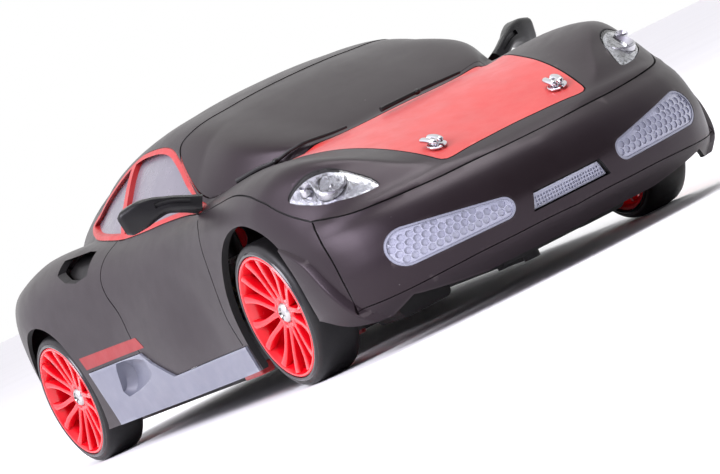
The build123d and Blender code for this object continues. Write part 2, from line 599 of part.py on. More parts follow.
def make_chassis(cradle):
    top = FLOOR_Z + FLOOR_T
    nose_top = NOSE_FLOOR_Z + FLOOR_T
    floor = block(-66, 30, -27, 27, FLOOR_Z, top) + block(-82, -60, -18, 18, FLOOR_Z, top)
    floor = fillet(floor.edges().filter_by(Axis.Z), 3) + cradle
    floor = floor + block(24, 40, -17, 17, NOSE_FLOOR_Z, nose_top) + block(38, 76, -8.8, 8.8, NOSE_FLOOR_Z, nose_top)
    nose = block(66, 86, -17, 17, nose_top, nose_top + FLOOR_T)
    floor = floor + fillet(nose.edges().filter_by(Axis.Z), 4)
    for side in (-1, 1):
        floor = floor + block(-22.4, 26, side * 26.3 - 0.7, side * 26.3 + 0.7, top, 14)
        floor = floor + block(-22.4, 26, side * 2.6 - 0.6, side * 2.6 + 0.6, top, 9)
        floor = floor - block(-20.6, 24.6, side * 14.4 - 10.6, side * 14.4 + 10.6, 0, top + 0.1)
        for x in (-16, 20):
            floor = floor + block(x - 1, x + 1, side * 2.6 - 0.6, side * 2.6 + 0.6, 8, BOARD_Z)
        floor = floor + rod_z(2.2, top, 35, -76, side * 13) + rod_z(2.2, nose_top, 28, 71, side * 13)
    floor = floor - block(SPUR_X - 2.5, SPUR_X + 2.5, -6, 6, 0, 10)
    floor = floor - block(SWITCH_X - 4, SWITCH_X + 4, SWITCH_Y - 1.4, SWITCH_Y + 1.4, 0, 10)
    floor = floor - rod_z(1.2 + FIT, 0, 10, TRIM_X, 0)
    keep("chassis_tub", floor)
    cover = block(-20.4, 24.4, 4.0, 24.8, FLOOR_Z, top - 0.2)
    keep("battery_covers", cover, mirrored(cover))


def make_battery():
    cells = []
    start, end = CELL_X - CELL_LENGTH / 2, CELL_X + CELL_LENGTH / 2
    for y in (8.9, 19.9):
        cell = rod_x(CELL_R, start, end - 1, y, CELL_Z) + rod_x(1.8, end - 2, end, y, CELL_Z)
        cells += [cell, mirrored(cell)]
    keep("battery_cells", *cells)


def make_electronics():
    """Circuit board with its chips and a round capacitor, and the power switch's slider."""
    top = BOARD_Z + 1.2
    board = block(-18, 22, -13, 13, BOARD_Z, top)
    parts = block(-8, 0, -6, 2, top, top + 1.8) + block(6, 12, -8, -3, top, top + 1.4)
    parts = parts + block(8, 16, 4, 9, top, top + 2.2) + rod_z(2.2, top, top + 5.4, -13, 8)
    keep("circuit_board", board + parts)
    slider = block(SWITCH_X - 1.8, SWITCH_X + 1.8, SWITCH_Y - 1.2, SWITCH_Y + 1.2, FLOOR_Z - 0.7, FLOOR_Z + 2.4)
    keep("power_switch", slider)


def make_all():
    make_shell()
    make_lamps()
    make_exhaust()
    make_clips()
    body = body_volume(0)
    make_wipers(body)
    make_mirrors(body)
    make_wheels()
    make_front_hubs()
    make_front_arms()
    make_steering()
    make_trim_lever()
    make_driveline()
    make_chassis(make_motor())
    bushes = make_hub_carriers()
    screws = []
    for name, x, shaft_side in (("front", FRONT_X, -1), ("rear", REAR_X, 1)):
        more_bushes, more_screws = make_gearbox(name, x, shaft_side)
        bushes += more_bushes
        screws += more_screws
    keep("axle_bushes", *bushes)
    keep("gearbox_screws", *screws)
    make_battery()
    make_electronics()


if __name__ == "__main__":
    make_all()
    for name, shapes in nodes.items():
        solids = [solid for shape in shapes for solid in shape.solids()]
        part = solids[0] if len(solids) == 1 else Compound(children=solids)
        part.label = name
        export_step(part, f"parts/{name}.step")
    print(len(nodes), "nodes")
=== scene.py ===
import math

import bmesh
import bpy
import numpy as np
from mathutils import Matrix, Vector


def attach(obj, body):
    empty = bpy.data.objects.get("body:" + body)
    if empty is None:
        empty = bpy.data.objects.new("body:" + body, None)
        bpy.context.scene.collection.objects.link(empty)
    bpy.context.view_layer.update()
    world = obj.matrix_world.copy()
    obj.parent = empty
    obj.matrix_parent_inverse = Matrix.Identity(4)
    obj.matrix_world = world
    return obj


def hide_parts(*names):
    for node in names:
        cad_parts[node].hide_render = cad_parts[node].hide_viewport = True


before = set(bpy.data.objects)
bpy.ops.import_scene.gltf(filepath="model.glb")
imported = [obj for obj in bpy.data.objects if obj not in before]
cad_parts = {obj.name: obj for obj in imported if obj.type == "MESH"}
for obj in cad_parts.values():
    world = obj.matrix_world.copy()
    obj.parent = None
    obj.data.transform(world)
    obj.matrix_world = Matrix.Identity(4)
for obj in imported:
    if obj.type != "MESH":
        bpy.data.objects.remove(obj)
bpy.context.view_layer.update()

# Lengths are millimetres in the row frame (+X nose, +Y left, +Z up) unless a name says otherwise.
MM = 0.001
FRONT_X, REAR_X, AXLE_Z = 51.1, -57.1, 13.25
WHEEL_IN = 31.0  # from the car's middle to the inner face of each wheel
HALF_LENGTH = 93.95
WALL = 1.4
GROOVE = 0.5

# ------------------------------------------------------------------ body curves
CENTRE_Z = [(-97, 38.2), (-80, 38.8), (-60, 39), (-30, 38.5), (20, 38), (46, 37), (60, 34.2),
            (72, 30.3), (81, 26.8), (88, 24), (97, 21)]
CREST_Z = [(-97, 37.6), (-85, 38.4), (-70, 39), (-57, 39.2), (-42, 38.8), (-25, 37.4), (0, 35.6),
           (25, 35.2), (40, 36.2), (50, 36.6), (60, 36.1), (71, 34.1), (79, 31), (86, 26.6), (97, 23)]
CREST_Y = [(-97, 21), (-75, 26), (-57, 31.5), (-30, 33.5), (0, 33.5), (25, 33), (50, 33), (70, 31.5),
           (85, 29), (97, 27)]
HALF_Y = [(-97, 29), (-88, 32.8), (-82, 35), (-76, 37.2), (-70, 39.3), (-64, 40.8), (-57, 41.3),
          (-35, 40.4), (-10, 39.2), (15, 38.8), (35, 39.6), (51, 40.6), (66, 40.4), (80, 39.5), (97, 38)]
HALF_Z = [(-97, 27), (-57, 24), (-10, 22), (51, 22), (80, 17), (97, 14)]
SILL_Y = [(-97, 26), (-80, 34), (-64, 40), (-57, 40.6), (0, 38.8), (51, 40), (80, 39), (97, 38)]
SILL_Z = [(-97, 10), (-60, 5.6), (0, 5.4), (36, 5.6), (62, 10.4), (69.5, 9.9), (74.3, 6.6), (78, 5.6),
          (97, 5.4)]
NOSE_PLAN = [(0, 0), (10, 0.8), (20, 3), (28, 6.2), (33, 9.8), (37, 15), (39.5, 22), (41, 39), (50, 60)]
TAIL_PLAN = [(0, 0), (12, 0.4), (20, 1.5), (26, 3.4), (31, 7), (35, 12.5), (38, 20), (41, 33), (50, 60)]
NOSE_LEAN = [(2, 7.5), (5.4, 4.8), (8.6, 1.4), (10.8, 0.5), (14, 0), (18, 1), (21, 2.6), (22.9, 4.6),
             (25, 7), (28, 10), (32, 14.5), (60, 36)]
TAIL_LEAN = [(2, 6), (8, 2), (14, 0.6), (22, 0), (30, 0.6), (38, 1.6), (60, 12)]
ROOF_Z = [(-80, 37), (-60, 43.2), (-45, 47.3), (-30, 50.2), (-15, 51.7), (-2, 52.2), (8, 51.4), (18, 49.3),
          (30, 45), (40, 40.8), (47, 37.4), (52, 34)]
BELT_Y = [(-80, 17), (-60, 25), (-40, 31), (-20, 34.4), (0, 35), (20, 33.6), (32, 30), (42, 24), (47, 19),
          (52, 14)]
ROOF_Y = [(-80, 11), (-60, 16), (-30, 20.5), (-2, 22), (15, 22.5), (30, 22.5), (42, 18), (52, 12)]
BELT_Z = 34.2
CORE_Z = 20.0
CABIN_RANGE = (-80.0, 51.0)
CABIN_BLEND = 1.0
END_BLEND = 2.5
STATION = 0.5
ANGLES = np.radians(np.linspace(-35, 90, 501))


def curve(points, at):
    """Smooth curve through the points, without overshoot, at each value of `at`."""
    xs, ys = np.array(points, float).T
    step = np.diff(xs)
    slope = np.diff(ys) / step
    product, total = slope[:-1] * slope[1:], slope[:-1] + slope[1:]
    inner = np.where(product > 0, 2 * product / np.where(total == 0, 1, total), 0)
    tangent = np.concatenate([slope[:1], inner, slope[-1:]])
    at = np.clip(at, xs[0], xs[-1])
    i = np.clip(np.searchsorted(xs, at) - 1, 0, len(step) - 1)
    t = (at - xs[i]) / step[i]
    rise = ys[i] * (1 + 2 * t) * (1 - t) ** 2 + ys[i + 1] * t * t * (3 - 2 * t)
    return rise + step[i] * (tangent[i] * t * (1 - t) ** 2 + tangent[i + 1] * t * t * (t - 1))


def eased(points, xs, width=4.0):
    """The same curve, softened along the car so that its bends don't show as bands."""
    offsets = np.linspace(-2, 2, 17)
    weights = np.exp(-offsets ** 2)
    return sum(curve(points, xs + o * width) * w for o, w in zip(offsets, weights)) / weights.sum()


def through(points, spans=14, closed=False):
    """Centripetal Catmull-Rom curve through points of any dimension."""
    p = np.array(points, float)
    p = np.vstack([p[-1:], p, p[:2]]) if closed else np.vstack([2 * p[0] - p[1], p, 2 * p[-1] - p[-2]])
    out = []
    t = np.linspace(0, 1, spans, endpoint=False)[:, None]
    for a, b, c, d in zip(p, p[1:], p[2:], p[3:]):
        t1 = max(np.linalg.norm(b - a), 1e-6) ** 0.5
        t2 = t1 + max(np.linalg.norm(c - b), 1e-6) ** 0.5
        t3 = t2 + max(np.linalg.norm(d - c), 1e-6) ** 0.5
        u = t1 + (t2 - t1) * t
        ab, bc = ((t1 - u) * a + u * b) / t1, ((t2 - u) * b + (u - t1) * c) / (t2 - t1)
        cd = ((t3 - u) * c + (u - t2) * d) / (t3 - t2)
        near, far = ((t2 - u) * ab + u * bc) / t2, ((t3 - u) * bc + (u - t1) * cd) / (t3 - t1)
        out.append(((t2 - u) * near + (u - t1) * far) / (t2 - t1))
    return np.vstack(out + ([] if closed else [p[-2:-1]]))


def lower_section(s):
    """Half of the body's section below the cabin: middle, valley, wing crest, widest point and sill."""
    middle, crest, crest_y = s["centre"], s["crest"], s["crest_y"]
    half_y, half_z = s["half_y"], s["half_z"]
    valley_y, valley = crest_y * 0.62, middle + (crest - middle) * 0.45 - 0.5
    return [(0, middle), (valley_y * 0.5, middle + (valley - middle) * 0.35), (valley_y, valley),
            (crest_y, crest), (crest_y + (half_y - crest_y) * 0.72, crest - (crest - half_z) * 0.28),
            (half_y, half_z), (s["sill_y"], s["sill_z"])]


def cabin_section(s):
    """Half of the cabin's section, from the roof down to the belt line."""
    rise = max(s["roof"] - BELT_Z, 0.6)
    top_y = s["belt_y"] - (s["belt_y"] - s["roof_y"]) * min(rise / 14, 1.0)
    shoulder = BELT_Z + rise * 0.87
    return [(0, s["roof"]), (top_y * 0.55, s["roof"] - (s["roof"] - shoulder) * 0.22), (top_y, shoulder),
            (top_y + (s["belt_y"] - top_y) * 0.55, BELT_Z + rise * 0.48), (s["belt_y"], BELT_Z)]


def polar_table(stations, section):
    """Distance from the core line to the section, for each station along the car and each angle."""
    rows = []
    for values in stations:
        half = section(values)
        full = through([(-y, z) for y, z in half[:0:-1]] + half)
        y, z = full[len(full) // 2:].T
        y, z = np.append(y, y[-1]), np.append(z, z[-1] - 40)
        angle, reach = np.arctan2(z - CORE_Z, y), np.hypot(y, z - CORE_Z)
        order = np.argsort(angle)
        rows.append(np.interp(ANGLES, angle[order], reach[order]))
    return np.array(rows)


def body_tables():
    xs = np.arange(-100, 100 + STATION, STATION)
    soft = dict(centre=CENTRE_Z, crest=CREST_Z, crest_y=CREST_Y, half_z=HALF_Z, sill_z=SILL_Z)
    tight = dict(half_y=HALF_Y, sill_y=SILL_Y, roof=ROOF_Z, belt_y=BELT_Y, roof_y=ROOF_Y)
    curves = {name: eased(points, xs) for name, points in soft.items()}
    curves.update({name: eased(points, xs, 3) for name, points in tight.items()})
    stations = [{k: float(v[i]) for k, v in curves.items()} for i in range(len(xs))]
    return polar_table(stations, lower_section), polar_table(stations, cabin_section)


LOWER, CABIN = body_tables()


def lookup(table, x, angle):
    """Reach of a table at any place along the car and angle, blended between its four neighbours."""
    i = np.clip((x + 100) / STATION, 0, len(table) - 1.001)
    j = np.clip((angle - ANGLES[0]) / (ANGLES[1] - ANGLES[0]), 0, len(ANGLES) - 1.001)
    i0, j0 = i.astype(int), j.astype(int)
    u, v = i - i0, j - j0
    near = table[i0, j0] * (1 - v) + table[i0, j0 + 1] * v
    far = table[i0 + 1, j0] * (1 - v) + table[i0 + 1, j0 + 1] * v
    return near * (1 - u) + far * u


def smooth_max(a, b, k):
    """The larger of two values, blended over a width k where they are close."""
    h = np.clip(0.5 + 0.5 * (a - b) / k, 0, 1)
    return b + (a - b) * h + k * h * (1 - h)


def ridge(x, z):
    """Raised bead across the nose, just above the line between bonnet and bumper."""
    return 0.5 * np.exp(-((z - 24.0) / 0.75) ** 2) * np.clip((x - 70) / 6, 0, 1)


def field(p):
    """Below zero inside the body, zero on its skin and about the distance outside it."""
    x, y, z = p[:, 0], np.abs(p[:, 1]), p[:, 2]
    angle, reach = np.arctan2(z - CORE_Z, y), np.hypot(y, z - CORE_Z)
    lower = reach - lookup(LOWER, x, angle)
    outside = np.maximum(CABIN_RANGE[0] - x, 0) + np.maximum(x - CABIN_RANGE[1], 0)
    cabin = reach - lookup(CABIN, x, angle) + outside
    body = -smooth_max(-lower, -cabin, CABIN_BLEND)
    nose = x - HALF_LENGTH + curve(NOSE_PLAN, y) + curve(NOSE_LEAN, z) - ridge(x, z)
    tail = -x - HALF_LENGTH + curve(TAIL_PLAN, y) + curve(TAIL_LEAN, z)
    return smooth_max(smooth_max(body, nose, END_BLEND), tail, END_BLEND)


def cast(start, ahead, level=0.0, steps=34):
    """Where rays from inside the body reach the given level of the field; `ahead` ends outside."""
    low, high = np.zeros(len(start)), np.ones(len(start))
    for _ in range(steps):
        middle = (low + high) / 2
        inside = field(start + ahead * middle[:, None]) < level
        low, high = np.where(inside, middle, low), np.where(inside, high, middle)
    return start + ahead * high[:, None]


def unit(vectors):
    return vectors / np.linalg.norm(vectors, axis=-1, keepdims=True)


def normals_at(p, reach=0.15):
    steps = [np.array(v) * reach for v in ((1, 0, 0), (0, 1, 0), (0, 0, 1))]
    return unit(np.stack([field(p + s) - field(p - s) for s in steps], axis=1))


# ------------------------------------------------------------------ mesh helpers
def clean(mesh):
    """Joins doubled points and turns every face outwards."""
    bm = bmesh.new()
    bm.from_mesh(mesh)
    bmesh.ops.remove_doubles(bm, verts=bm.verts, dist=1e-6)
    bmesh.ops.recalc_face_normals(bm, faces=bm.faces)
    bm.to_mesh(mesh)
    bm.free()


def raw_mesh(points, faces):
    """Mesh from points in millimetres."""
    mesh = bpy.data.meshes.new("part")
    mesh.from_pydata([tuple(p) for p in np.asarray(points, float) * MM], [], [tuple(f) for f in faces])
    clean(mesh)
    return mesh


def joined(*meshes):
    """One mesh of separate shells."""
    bm = bmesh.new()
    for mesh in meshes:
        bm.from_mesh(mesh)
    out = bpy.data.meshes.new("joined")
    bm.to_mesh(out)
    bm.free()
    return out


def moved(mesh, matrix):
    out = mesh.copy()
    out.transform(matrix)
    if matrix.determinant() < 0:
        out.flip_normals()
    return out


def place(x=0, y=0, z=0, turn=(0, 0, 0)):
    """Matrix that turns by degrees about X, Y and Z in that order, then moves by millimetres."""
    about_x, about_y, about_z = (Matrix.Rotation(math.radians(a), 4, axis) for a, axis in zip(turn, "XYZ"))
    return Matrix.Translation(Vector((x, y, z)) * MM) @ about_z @ about_y @ about_x


MIRROR = Matrix.Diagonal((1, -1, 1, 1))


def linked(name, data):
    """A new object in the scene."""
    o = bpy.data.objects.new(name, data)
    bpy.context.scene.collection.objects.link(o)
    return o


def applied(o):
    """The object's mesh with its modifiers applied."""
    bpy.context.view_layer.update()
    return bpy.data.meshes.new_from_object(o.evaluated_get(bpy.context.evaluated_depsgraph_get()))


def combine(mesh, tool, how):
    """Boolean of two closed meshes; `how` is UNION, DIFFERENCE or INTERSECT."""
    base, other = linked("base", mesh), linked("tool", tool)
    modifier = base.modifiers.new("b", "BOOLEAN")
    modifier.operation, modifier.object, modifier.solver = how, other, "MANIFOLD"
    out = applied(base)
    for o in (base, other):
        bpy.data.objects.remove(o)
    return out


def cut(mesh, *tools):
    for tool in tools:
        mesh = combine(mesh, tool, "DIFFERENCE")
    return mesh


def united(first, *others):
    for other in others:
        first = combine(first, other, "UNION")
    return first


def skin(loops, closed=False):
    """Mesh over loops of equal length: a ring of loops, or a body closed at both ends."""
    loops = [np.asarray(loop, float) for loop in loops]
    n, count = len(loops[0]), len(loops)
    faces = []
    for i in range(count if closed else count - 1):
        a, b = i * n, (i + 1) % count * n
        faces += [(a + j, a + (j + 1) % n, b + (j + 1) % n, b + j) for j in range(n)]
    if not closed:
        faces += [tuple(range(n))[::-1], tuple(range((count - 1) * n, count * n))]
    return raw_mesh(np.vstack(loops), faces)


def turns(n):
    """Angles of n even steps round a circle."""
    return np.linspace(0, 2 * math.pi, n, endpoint=False)


def lathe(profile, segments):
    """Ring or disc about the Y axis from a closed profile of (radius, y)."""
    profile = np.array(profile, float)
    loops = []
    for a in turns(segments):
        loops.append(np.c_[profile[:, 0] * math.cos(a), profile[:, 1], profile[:, 0] * math.sin(a)])
    return skin(loops, closed=True)


def frames_along(path):
    """Tangent and two side directions at each point of a path, turning as little as they can."""
    path = np.asarray(path, float)
    tangents = unit(np.gradient(path, axis=0))
    side = np.cross(tangents[0], (0, 0, 1) if abs(tangents[0][2]) < 0.9 else (0, 1, 0))
    out = []
    for t in tangents:
        side = unit(side - t * (side @ t))
        out.append((t, side, np.cross(side, t)))
    return out


def ring(radius, n=16, squash=1.0):
    a = turns(n)
    return np.c_[np.cos(a) * radius, np.sin(a) * radius * squash]


def sweep(path, section, scales=None):
    """Closed tube: a flat section carried along a path, with an optional scale at each point."""
    path = np.asarray(path, float)
    scales = np.ones(len(path)) if scales is None else np.asarray(scales, float)
    loops = []
    for p, (_, side, up), k in zip(path, frames_along(path), scales):
        loops.append(p + np.outer(section[:, 0] * k, side) + np.outer(section[:, 1] * k, up))
    return skin(loops)


def rounded(width, height, radius, n=5):
    """Rounded rectangle centred on the origin."""
    out = []
    for sx, sy, start in ((1, 1, 0), (-1, 1, 90), (-1, -1, 180), (1, -1, 270)):
        for a in np.radians(np.linspace(start, start + 90, n)):
            out.append((sx * (width / 2 - radius) + radius * math.cos(a),
                        sy * (height / 2 - radius) + radius * math.sin(a)))
    return np.array(out)


def signed_area(outline):
    x, y = np.asarray(outline, float).T
    return (x * np.roll(y, -1) - y * np.roll(x, -1)).sum() / 2


def inset(outline, amount):
    """The outline moved inwards by `amount`, or outwards where it is negative."""
    p = np.asarray(outline, float)
    if signed_area(p) < 0:
        p = p[::-1]
    before, after = unit(p - np.roll(p, 1, axis=0)), unit(np.roll(p, -1, axis=0) - p)
    turn = before + after
    turn /= np.maximum(np.linalg.norm(turn, axis=1, keepdims=True), 1e-9)
    normal = np.c_[-turn[:, 1], turn[:, 0]]
    stretch = 1 / np.maximum((normal * np.c_[-before[:, 1], before[:, 0]]).sum(axis=1), 0.5)
    return p + normal * (amount * stretch)[:, None]


def prism(outline, axis, low, high):
    """Solid over a closed outline; its axis is x with (y, z), y with (x, z) or z with (x, y)."""
    outline = np.asarray(outline, float)
    loops = []
    for level in (low, high):
        fixed = np.full((len(outline), 1), float(level))
        columns = {"x": (fixed, outline), "y": (outline[:, :1], fixed, outline[:, 1:]), "z": (outline, fixed)}
        loops.append(np.hstack(columns[axis]))
    return skin(loops)


def block(x0, x1, y0, y1, z0, z1):
    return prism([(x0, y0), (x1, y0), (x1, y1), (x0, y1)], "z", z0, z1)


def disc(radius, centre, axis, low, high, n=72):
    return prism(ring(radius, n) + np.array(centre), axis, low, high)


def softened(mesh, width, segments=2, angle=35):
    """Rounds the sharp edges of a mesh by `width` millimetres."""
    o = linked("soft", mesh)
    modifier = o.modifiers.new("bevel", "BEVEL")
    modifier.width, modifier.segments, modifier.limit_method = width * MM, segments, "ANGLE"
    modifier.angle_limit = math.radians(angle)
    out = applied(o)
    bpy.data.objects.remove(o)
    return out


def dress(mesh, looks):
    """Gives a mesh the materials that `looks` names."""
    mesh.materials.clear()
    for look in looks.split():
        mesh.materials.append(MAT[look])


def piece(name, mesh, looks, replaced=(), body="chassis", sharp=32):
    """A finished visible piece on a CAD body."""
    o = linked(name, mesh)
    mesh.name = name
    dress(mesh, looks)
    mesh.polygons.foreach_set("use_smooth", [True] * len(mesh.polygons))
    mesh.set_sharp_from_angle(angle=math.radians(sharp))
    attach(o, body)
    if replaced:
        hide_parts(*replaced)
    return o


# ------------------------------------------------------------------ body skin
GRID = (188, 84, 46)
CORE_BOX = ((-70, -15, 17), (70, 15, 24))
TARGET_BOX = ((-95, -42, 0), (95, 42, 52))


def grid_of_rays():
    """Rays that fan out from an inner box, and the quads between them; the underside stays open."""
    nx, ny, nz = GRID
    index, cells = {}, []

    def point(i, j, k):
        return index.setdefault((i, j, k), len(index))

    for i in range(nx):
        for j in range(ny):
            cells.append([point(i, j, nz), point(i + 1, j, nz), point(i + 1, j + 1, nz), point(i, j + 1, nz)])
        for k in range(nz):
            for j in (0, ny):
                cells.append([point(i, j, k), point(i + 1, j, k), point(i + 1, j, k + 1), point(i, j, k + 1)])
    for j in range(ny):
        for k in range(nz):
            for i in (0, nx):
                cells.append([point(i, j, k), point(i, j + 1, k), point(i, j + 1, k + 1), point(i, j, k + 1)])
    share = np.array(list(index)) / np.array(GRID, float)
    low, high = np.array(CORE_BOX, float)
    start = low + (high - low) * share
    low, high = np.array(TARGET_BOX, float)
    return start, (low + (high - low) * share - start) * 1.4, np.array(cells)


RAY_START, RAY_AHEAD, CELL_ARRAY = grid_of_rays()
LEVELS = {}


def skin_points(level):
    if level not in LEVELS:
        LEVELS[level] = cast(RAY_START, RAY_AHEAD, level)
    return LEVELS[level]


def sheet(outer, inner, low=None, high=None):
    """Closed sheet along the body between two levels of its field; the corners of a box may limit it."""
    top, under = skin_points(outer), skin_points(inner)
    cells = CELL_ARRAY
    if low is not None:
        centres = skin_points(0.0)[cells].mean(axis=1)
        cells = cells[((centres > np.array(low)) & (centres < np.array(high))).all(axis=1)]
    edges = np.concatenate([cells[:, [k, (k + 1) % 4]] for k in range(4)])
    key = np.sort(edges, axis=1)
    _, first, count = np.unique(key, axis=0, return_index=True, return_counts=True)
    border = edges[first[count == 1]]
    used = np.unique(cells)
    renumber = np.zeros(len(top), int)
    renumber[used] = np.arange(len(used))
    n = len(used)
    cells, border = renumber[cells], renumber[border]
    faces = np.vstack([cells, cells[:, ::-1] + n, np.c_[border, border[:, ::-1] + n]])
    return raw_mesh(np.vstack([top[used], under[used]]), faces.tolist())


def to_skin(points, level=0.0):
    """The points moved along the body's normal onto its skin."""
    points = np.array(points, float)
    for _ in range(6):
        points = points - normals_at(points) * (field(points) - level)[:, None]
    return points


def resampled(path, step):
    path = np.asarray(path, float)
    run = np.concatenate([[0], np.cumsum(np.linalg.norm(np.diff(path, axis=0), axis=1))])
    at = np.linspace(0, run[-1], max(int(run[-1] / step), 2) + 1)
    return np.stack([np.interp(at, run, path[:, k]) for k in range(path.shape[1])], axis=1)


def groove_tool(points, width=0.45, depth=GROOVE, closed=False, soft=True):
    """Cutter for a narrow groove along a line on the skin."""
    path = through(points, 10, closed) if soft else np.array(points, float)
    if closed:
        path = np.vstack([path, path[:1]])
    path = to_skin(resampled(path, 1.1))
    if closed:
        path = path[:-1]
        tangents = np.roll(path, -1, axis=0) - np.roll(path, 1, axis=0)
    else:
        tangents = np.gradient(path, axis=0)
    normal = normals_at(path)
    side = unit(np.cross(normal, unit(tangents))) * width / 2
    low, high = path - normal * depth, path + normal * 0.8
    loops = [np.array([l + s * 0.6, h + s, h - s, l - s * 0.6]) for l, h, s in zip(low, high, side)]
    return skin(loops, closed)


def below_sill():
    """Everything under the body's lower edge."""
    xs = np.linspace(-104, 104, 209)
    loops = [np.array([(x, -60, -30), (x, 60, -30), (x, 60, z), (x, -60, z)])
             for x, z in zip(xs, eased(SILL_Z, xs))]
    return skin(loops)


def both(mesh):
    return [mesh, moved(mesh, MIRROR)]


# ------------------------------------------------------------------ outlines on the body
def whole(half):
    return half + [(x, -y) for x, y in half[-2:0:-1]]


def mirrored_outline(half):
    """Closed smooth outline from a half outline whose ends lie on the centre line."""
    return through(whole(half), 8, closed=True)


WINDSCREEN = [(48, 0), (47.9, 10), (45.8, 19), (41, 24.5), (34, 28.2), (26, 30.7), (18, 28.9),
              (10.5, 24.5), (12, 21), (12.8, 10), (12.8, 0)]
REAR_WINDOW = [(-30, 0), (-30, 14), (-34, 17), (-60, 11.5), (-64, 8), (-64, 0)]
HEADLIGHT = [(68, 35.9), (69.4, 32.6), (71, 30.4), (73, 28.4), (76, 26.8), (80.8, 25.4), (79.6, 28.4),
             (77.2, 31.2), (73.4, 34.2)]
BONNET_PANEL = [(84.5, 0), (84.8, 6), (85.2, 11), (85.4, 13.2), (85.2, 14.4), (84.4, 15.2), (82.5, 15.7),
                (75.2, 17.4), (67.1, 19.1), (58.5, 20.9), (48.4, 23.6), (44.6, 24.6), (47.6, 17), (48.9, 9),
                (49.1, 0)]
FRAME = [(28, 35), (23.4, 37), (18.4, 40.9), (12.9, 44.8), (8.3, 47.2), (3, 48.5), (-5, 49.2), (-13, 49.3),
         (-20, 48.4), (-29, 46.4), (-41.5, 43.6), (-47.6, 41.7), (-42.4, 40), (-22.7, 37.9), (-12, 36.8),
         (0, 36.3), (9.4, 36.1), (17.4, 35.7), (25.4, 35)]
PANE = [(23, 36.3), (17.8, 40.2), (12.4, 44), (7.9, 46.4), (2.8, 47.7), (-5, 48.4), (-13, 48.5),
        (-19.9, 47.65), (-28.8, 45.65), (-40, 42.95), (-44.8, 41.7), (-42, 40.7), (-23.2, 38.65), (-12, 37.6),
        (0, 37.1), (9.4, 36.9), (17.2, 36.5)]
PILLAR = [(-17.4, 49.5), (-14.9, 49.5), (-11.2, 34.5), (-13.6, 34.5)]
SKIRT = [(-38.6, 17), (-12, 16.7), (-8, 14), (-1, 10.4), (33.8, 10.6), (35.4, 4), (-36, 4)]
INTAKE = [(-41, 38.2), (-28.5, 37.6), (-24.6, 37.1), (-25.4, 33.8), (-31, 33.4), (-36, 34.3), (-41, 36.2)]
STRIPE = [(-40.5, 20.2), (-39.4, 17.6), (-9.4, 17.3), (-11.9, 19.6)]
GRILLE = [(-6.9, 14), (6.9, 14), (8, 10.9), (-8, 10.9)]
REAR_GRILLE = [(-15, 17), (15, 17), (13, 11.8), (-13, 11.8)]
FOG_INNER, FOG_OUTER = (12.6, 13.6, 2.0), (28.7, 15.2, 3.35)
TAIL_LAMPS, TAIL_LAMP_R = [(13.5, 27.5), (20.5, 27.2)], 3.0
EXHAUST_Y, EXHAUST_Z, EXHAUST_R = 8.0, 8.2, 1.9
ARCHES = ((FRONT_X, 16.8), (REAR_X, 15.8))
CLIP_X, CLIP_Y, CLIP_Z, CLIP_TILT = 80.4, 12.7, 27.2, 24.0


def across(half):
    """A line over the car from its right-hand half; the last point lies on the centre line."""
    return half + [(x, -y, z) for x, y, z in half[-2::-1]]


# Narrow lines in the skin. Those made by `across` span the car; the others are mirrored when they are cut.
WING_LINE = [(20, -32.8, 35.4), (31, -34.5, 34.7), (40, -35.6, 35), (49.6, -36.2, 34.9), (57.4, -37.2, 33.6),
             (62.7, -38, 31.8), (65.6, -37.7, 29.8), (68.8, -37.2, 27.8), (73, -36.2, 25.5)]
NOSE_LINE = across([(73, -36.2, 25.5), (79.5, -32.2, 23.9), (82.9, -27.8, 23.4), (86.6, -19, 22.9),
                    (88.9, -7, 22.7), (89.1, 0, 22.7)])
BUMPER_LINE = [(73.3, -36.1, 25.3), (75.1, -37, 22.1), (76.7, -37.5, 18.8), (77.5, -37.7, 14.7),
               (77.4, -37.7, 9.5), (77, -37.5, 5)]
LIP_LINE = across([(77.2, -37.6, 8.9), (81.5, -33.6, 8.8), (86, -28.4, 8.7), (90.2, -20, 8.6),
                   (92.6, -9, 8.6), (93, 0, 8.6)])
DOOR_REAR = [(-15.9, -32.3, 37.3), (-18.9, -37.7, 33), (-18.1, -39.2, 29.2), (-15.5, -39.5, 24.9),
             (-13.4, -38.8, 18), (-9.5, -38.5, 13.5), (-3.2, -38.4, 10.5)]
DOOR_FRONT = [(28.7, -35.3, 33.9), (31.4, -37.7, 31.6), (31.9, -39.2, 27.3), (31.4, -39.3, 21.3),
              (30.9, -38.9, 15.7), (32.1, -38.8, 10.8)]
TAIL_LINE = [(-73, -35, 12), (-75, -36.5, 20), (-77, -35.5, 27), (-80, -30, 33), (-82, -20, 36.5),
             (-82.6, -8, 37.4)]
TAIL_LINE += [(x, -y, z) for x, y, z in TAIL_LINE[::-1]]
ENGINE_LID = across([(-31, -20, 44), (-45, -19.5, 42), (-66, -17.5, 39.5), (-77, -15, 38), (-77.5, 0, 38.5)])

# The front wing's fold: its line in (x, z), its height along that line, and its section in shares of it.
FOLD = [(58, 24.9), (62, 24.2), (66, 22.7), (70.7, 19.6), (73.8, 15.2), (75.7, 11.8), (77, 9.3), (78, 6.8),
        (78.8, 4.2)]
FOLD_RISE = [(0, 0.0), (0.15, 0.25), (0.35, 0.8), (0.6, 1.15), (0.8, 1.1), (1, 0.9)]
FOLD_SECTION = [(1.1, -0.7), (0.9, -0.15), (0.25, 0.85), (0, 1.0), (-0.5, 0.97), (-3, 0.85), (-6, 0.7),
                (-9, 0.5), (-12, 0.3), (-12, -0.7), (-6, -0.7), (0, -0.7)]


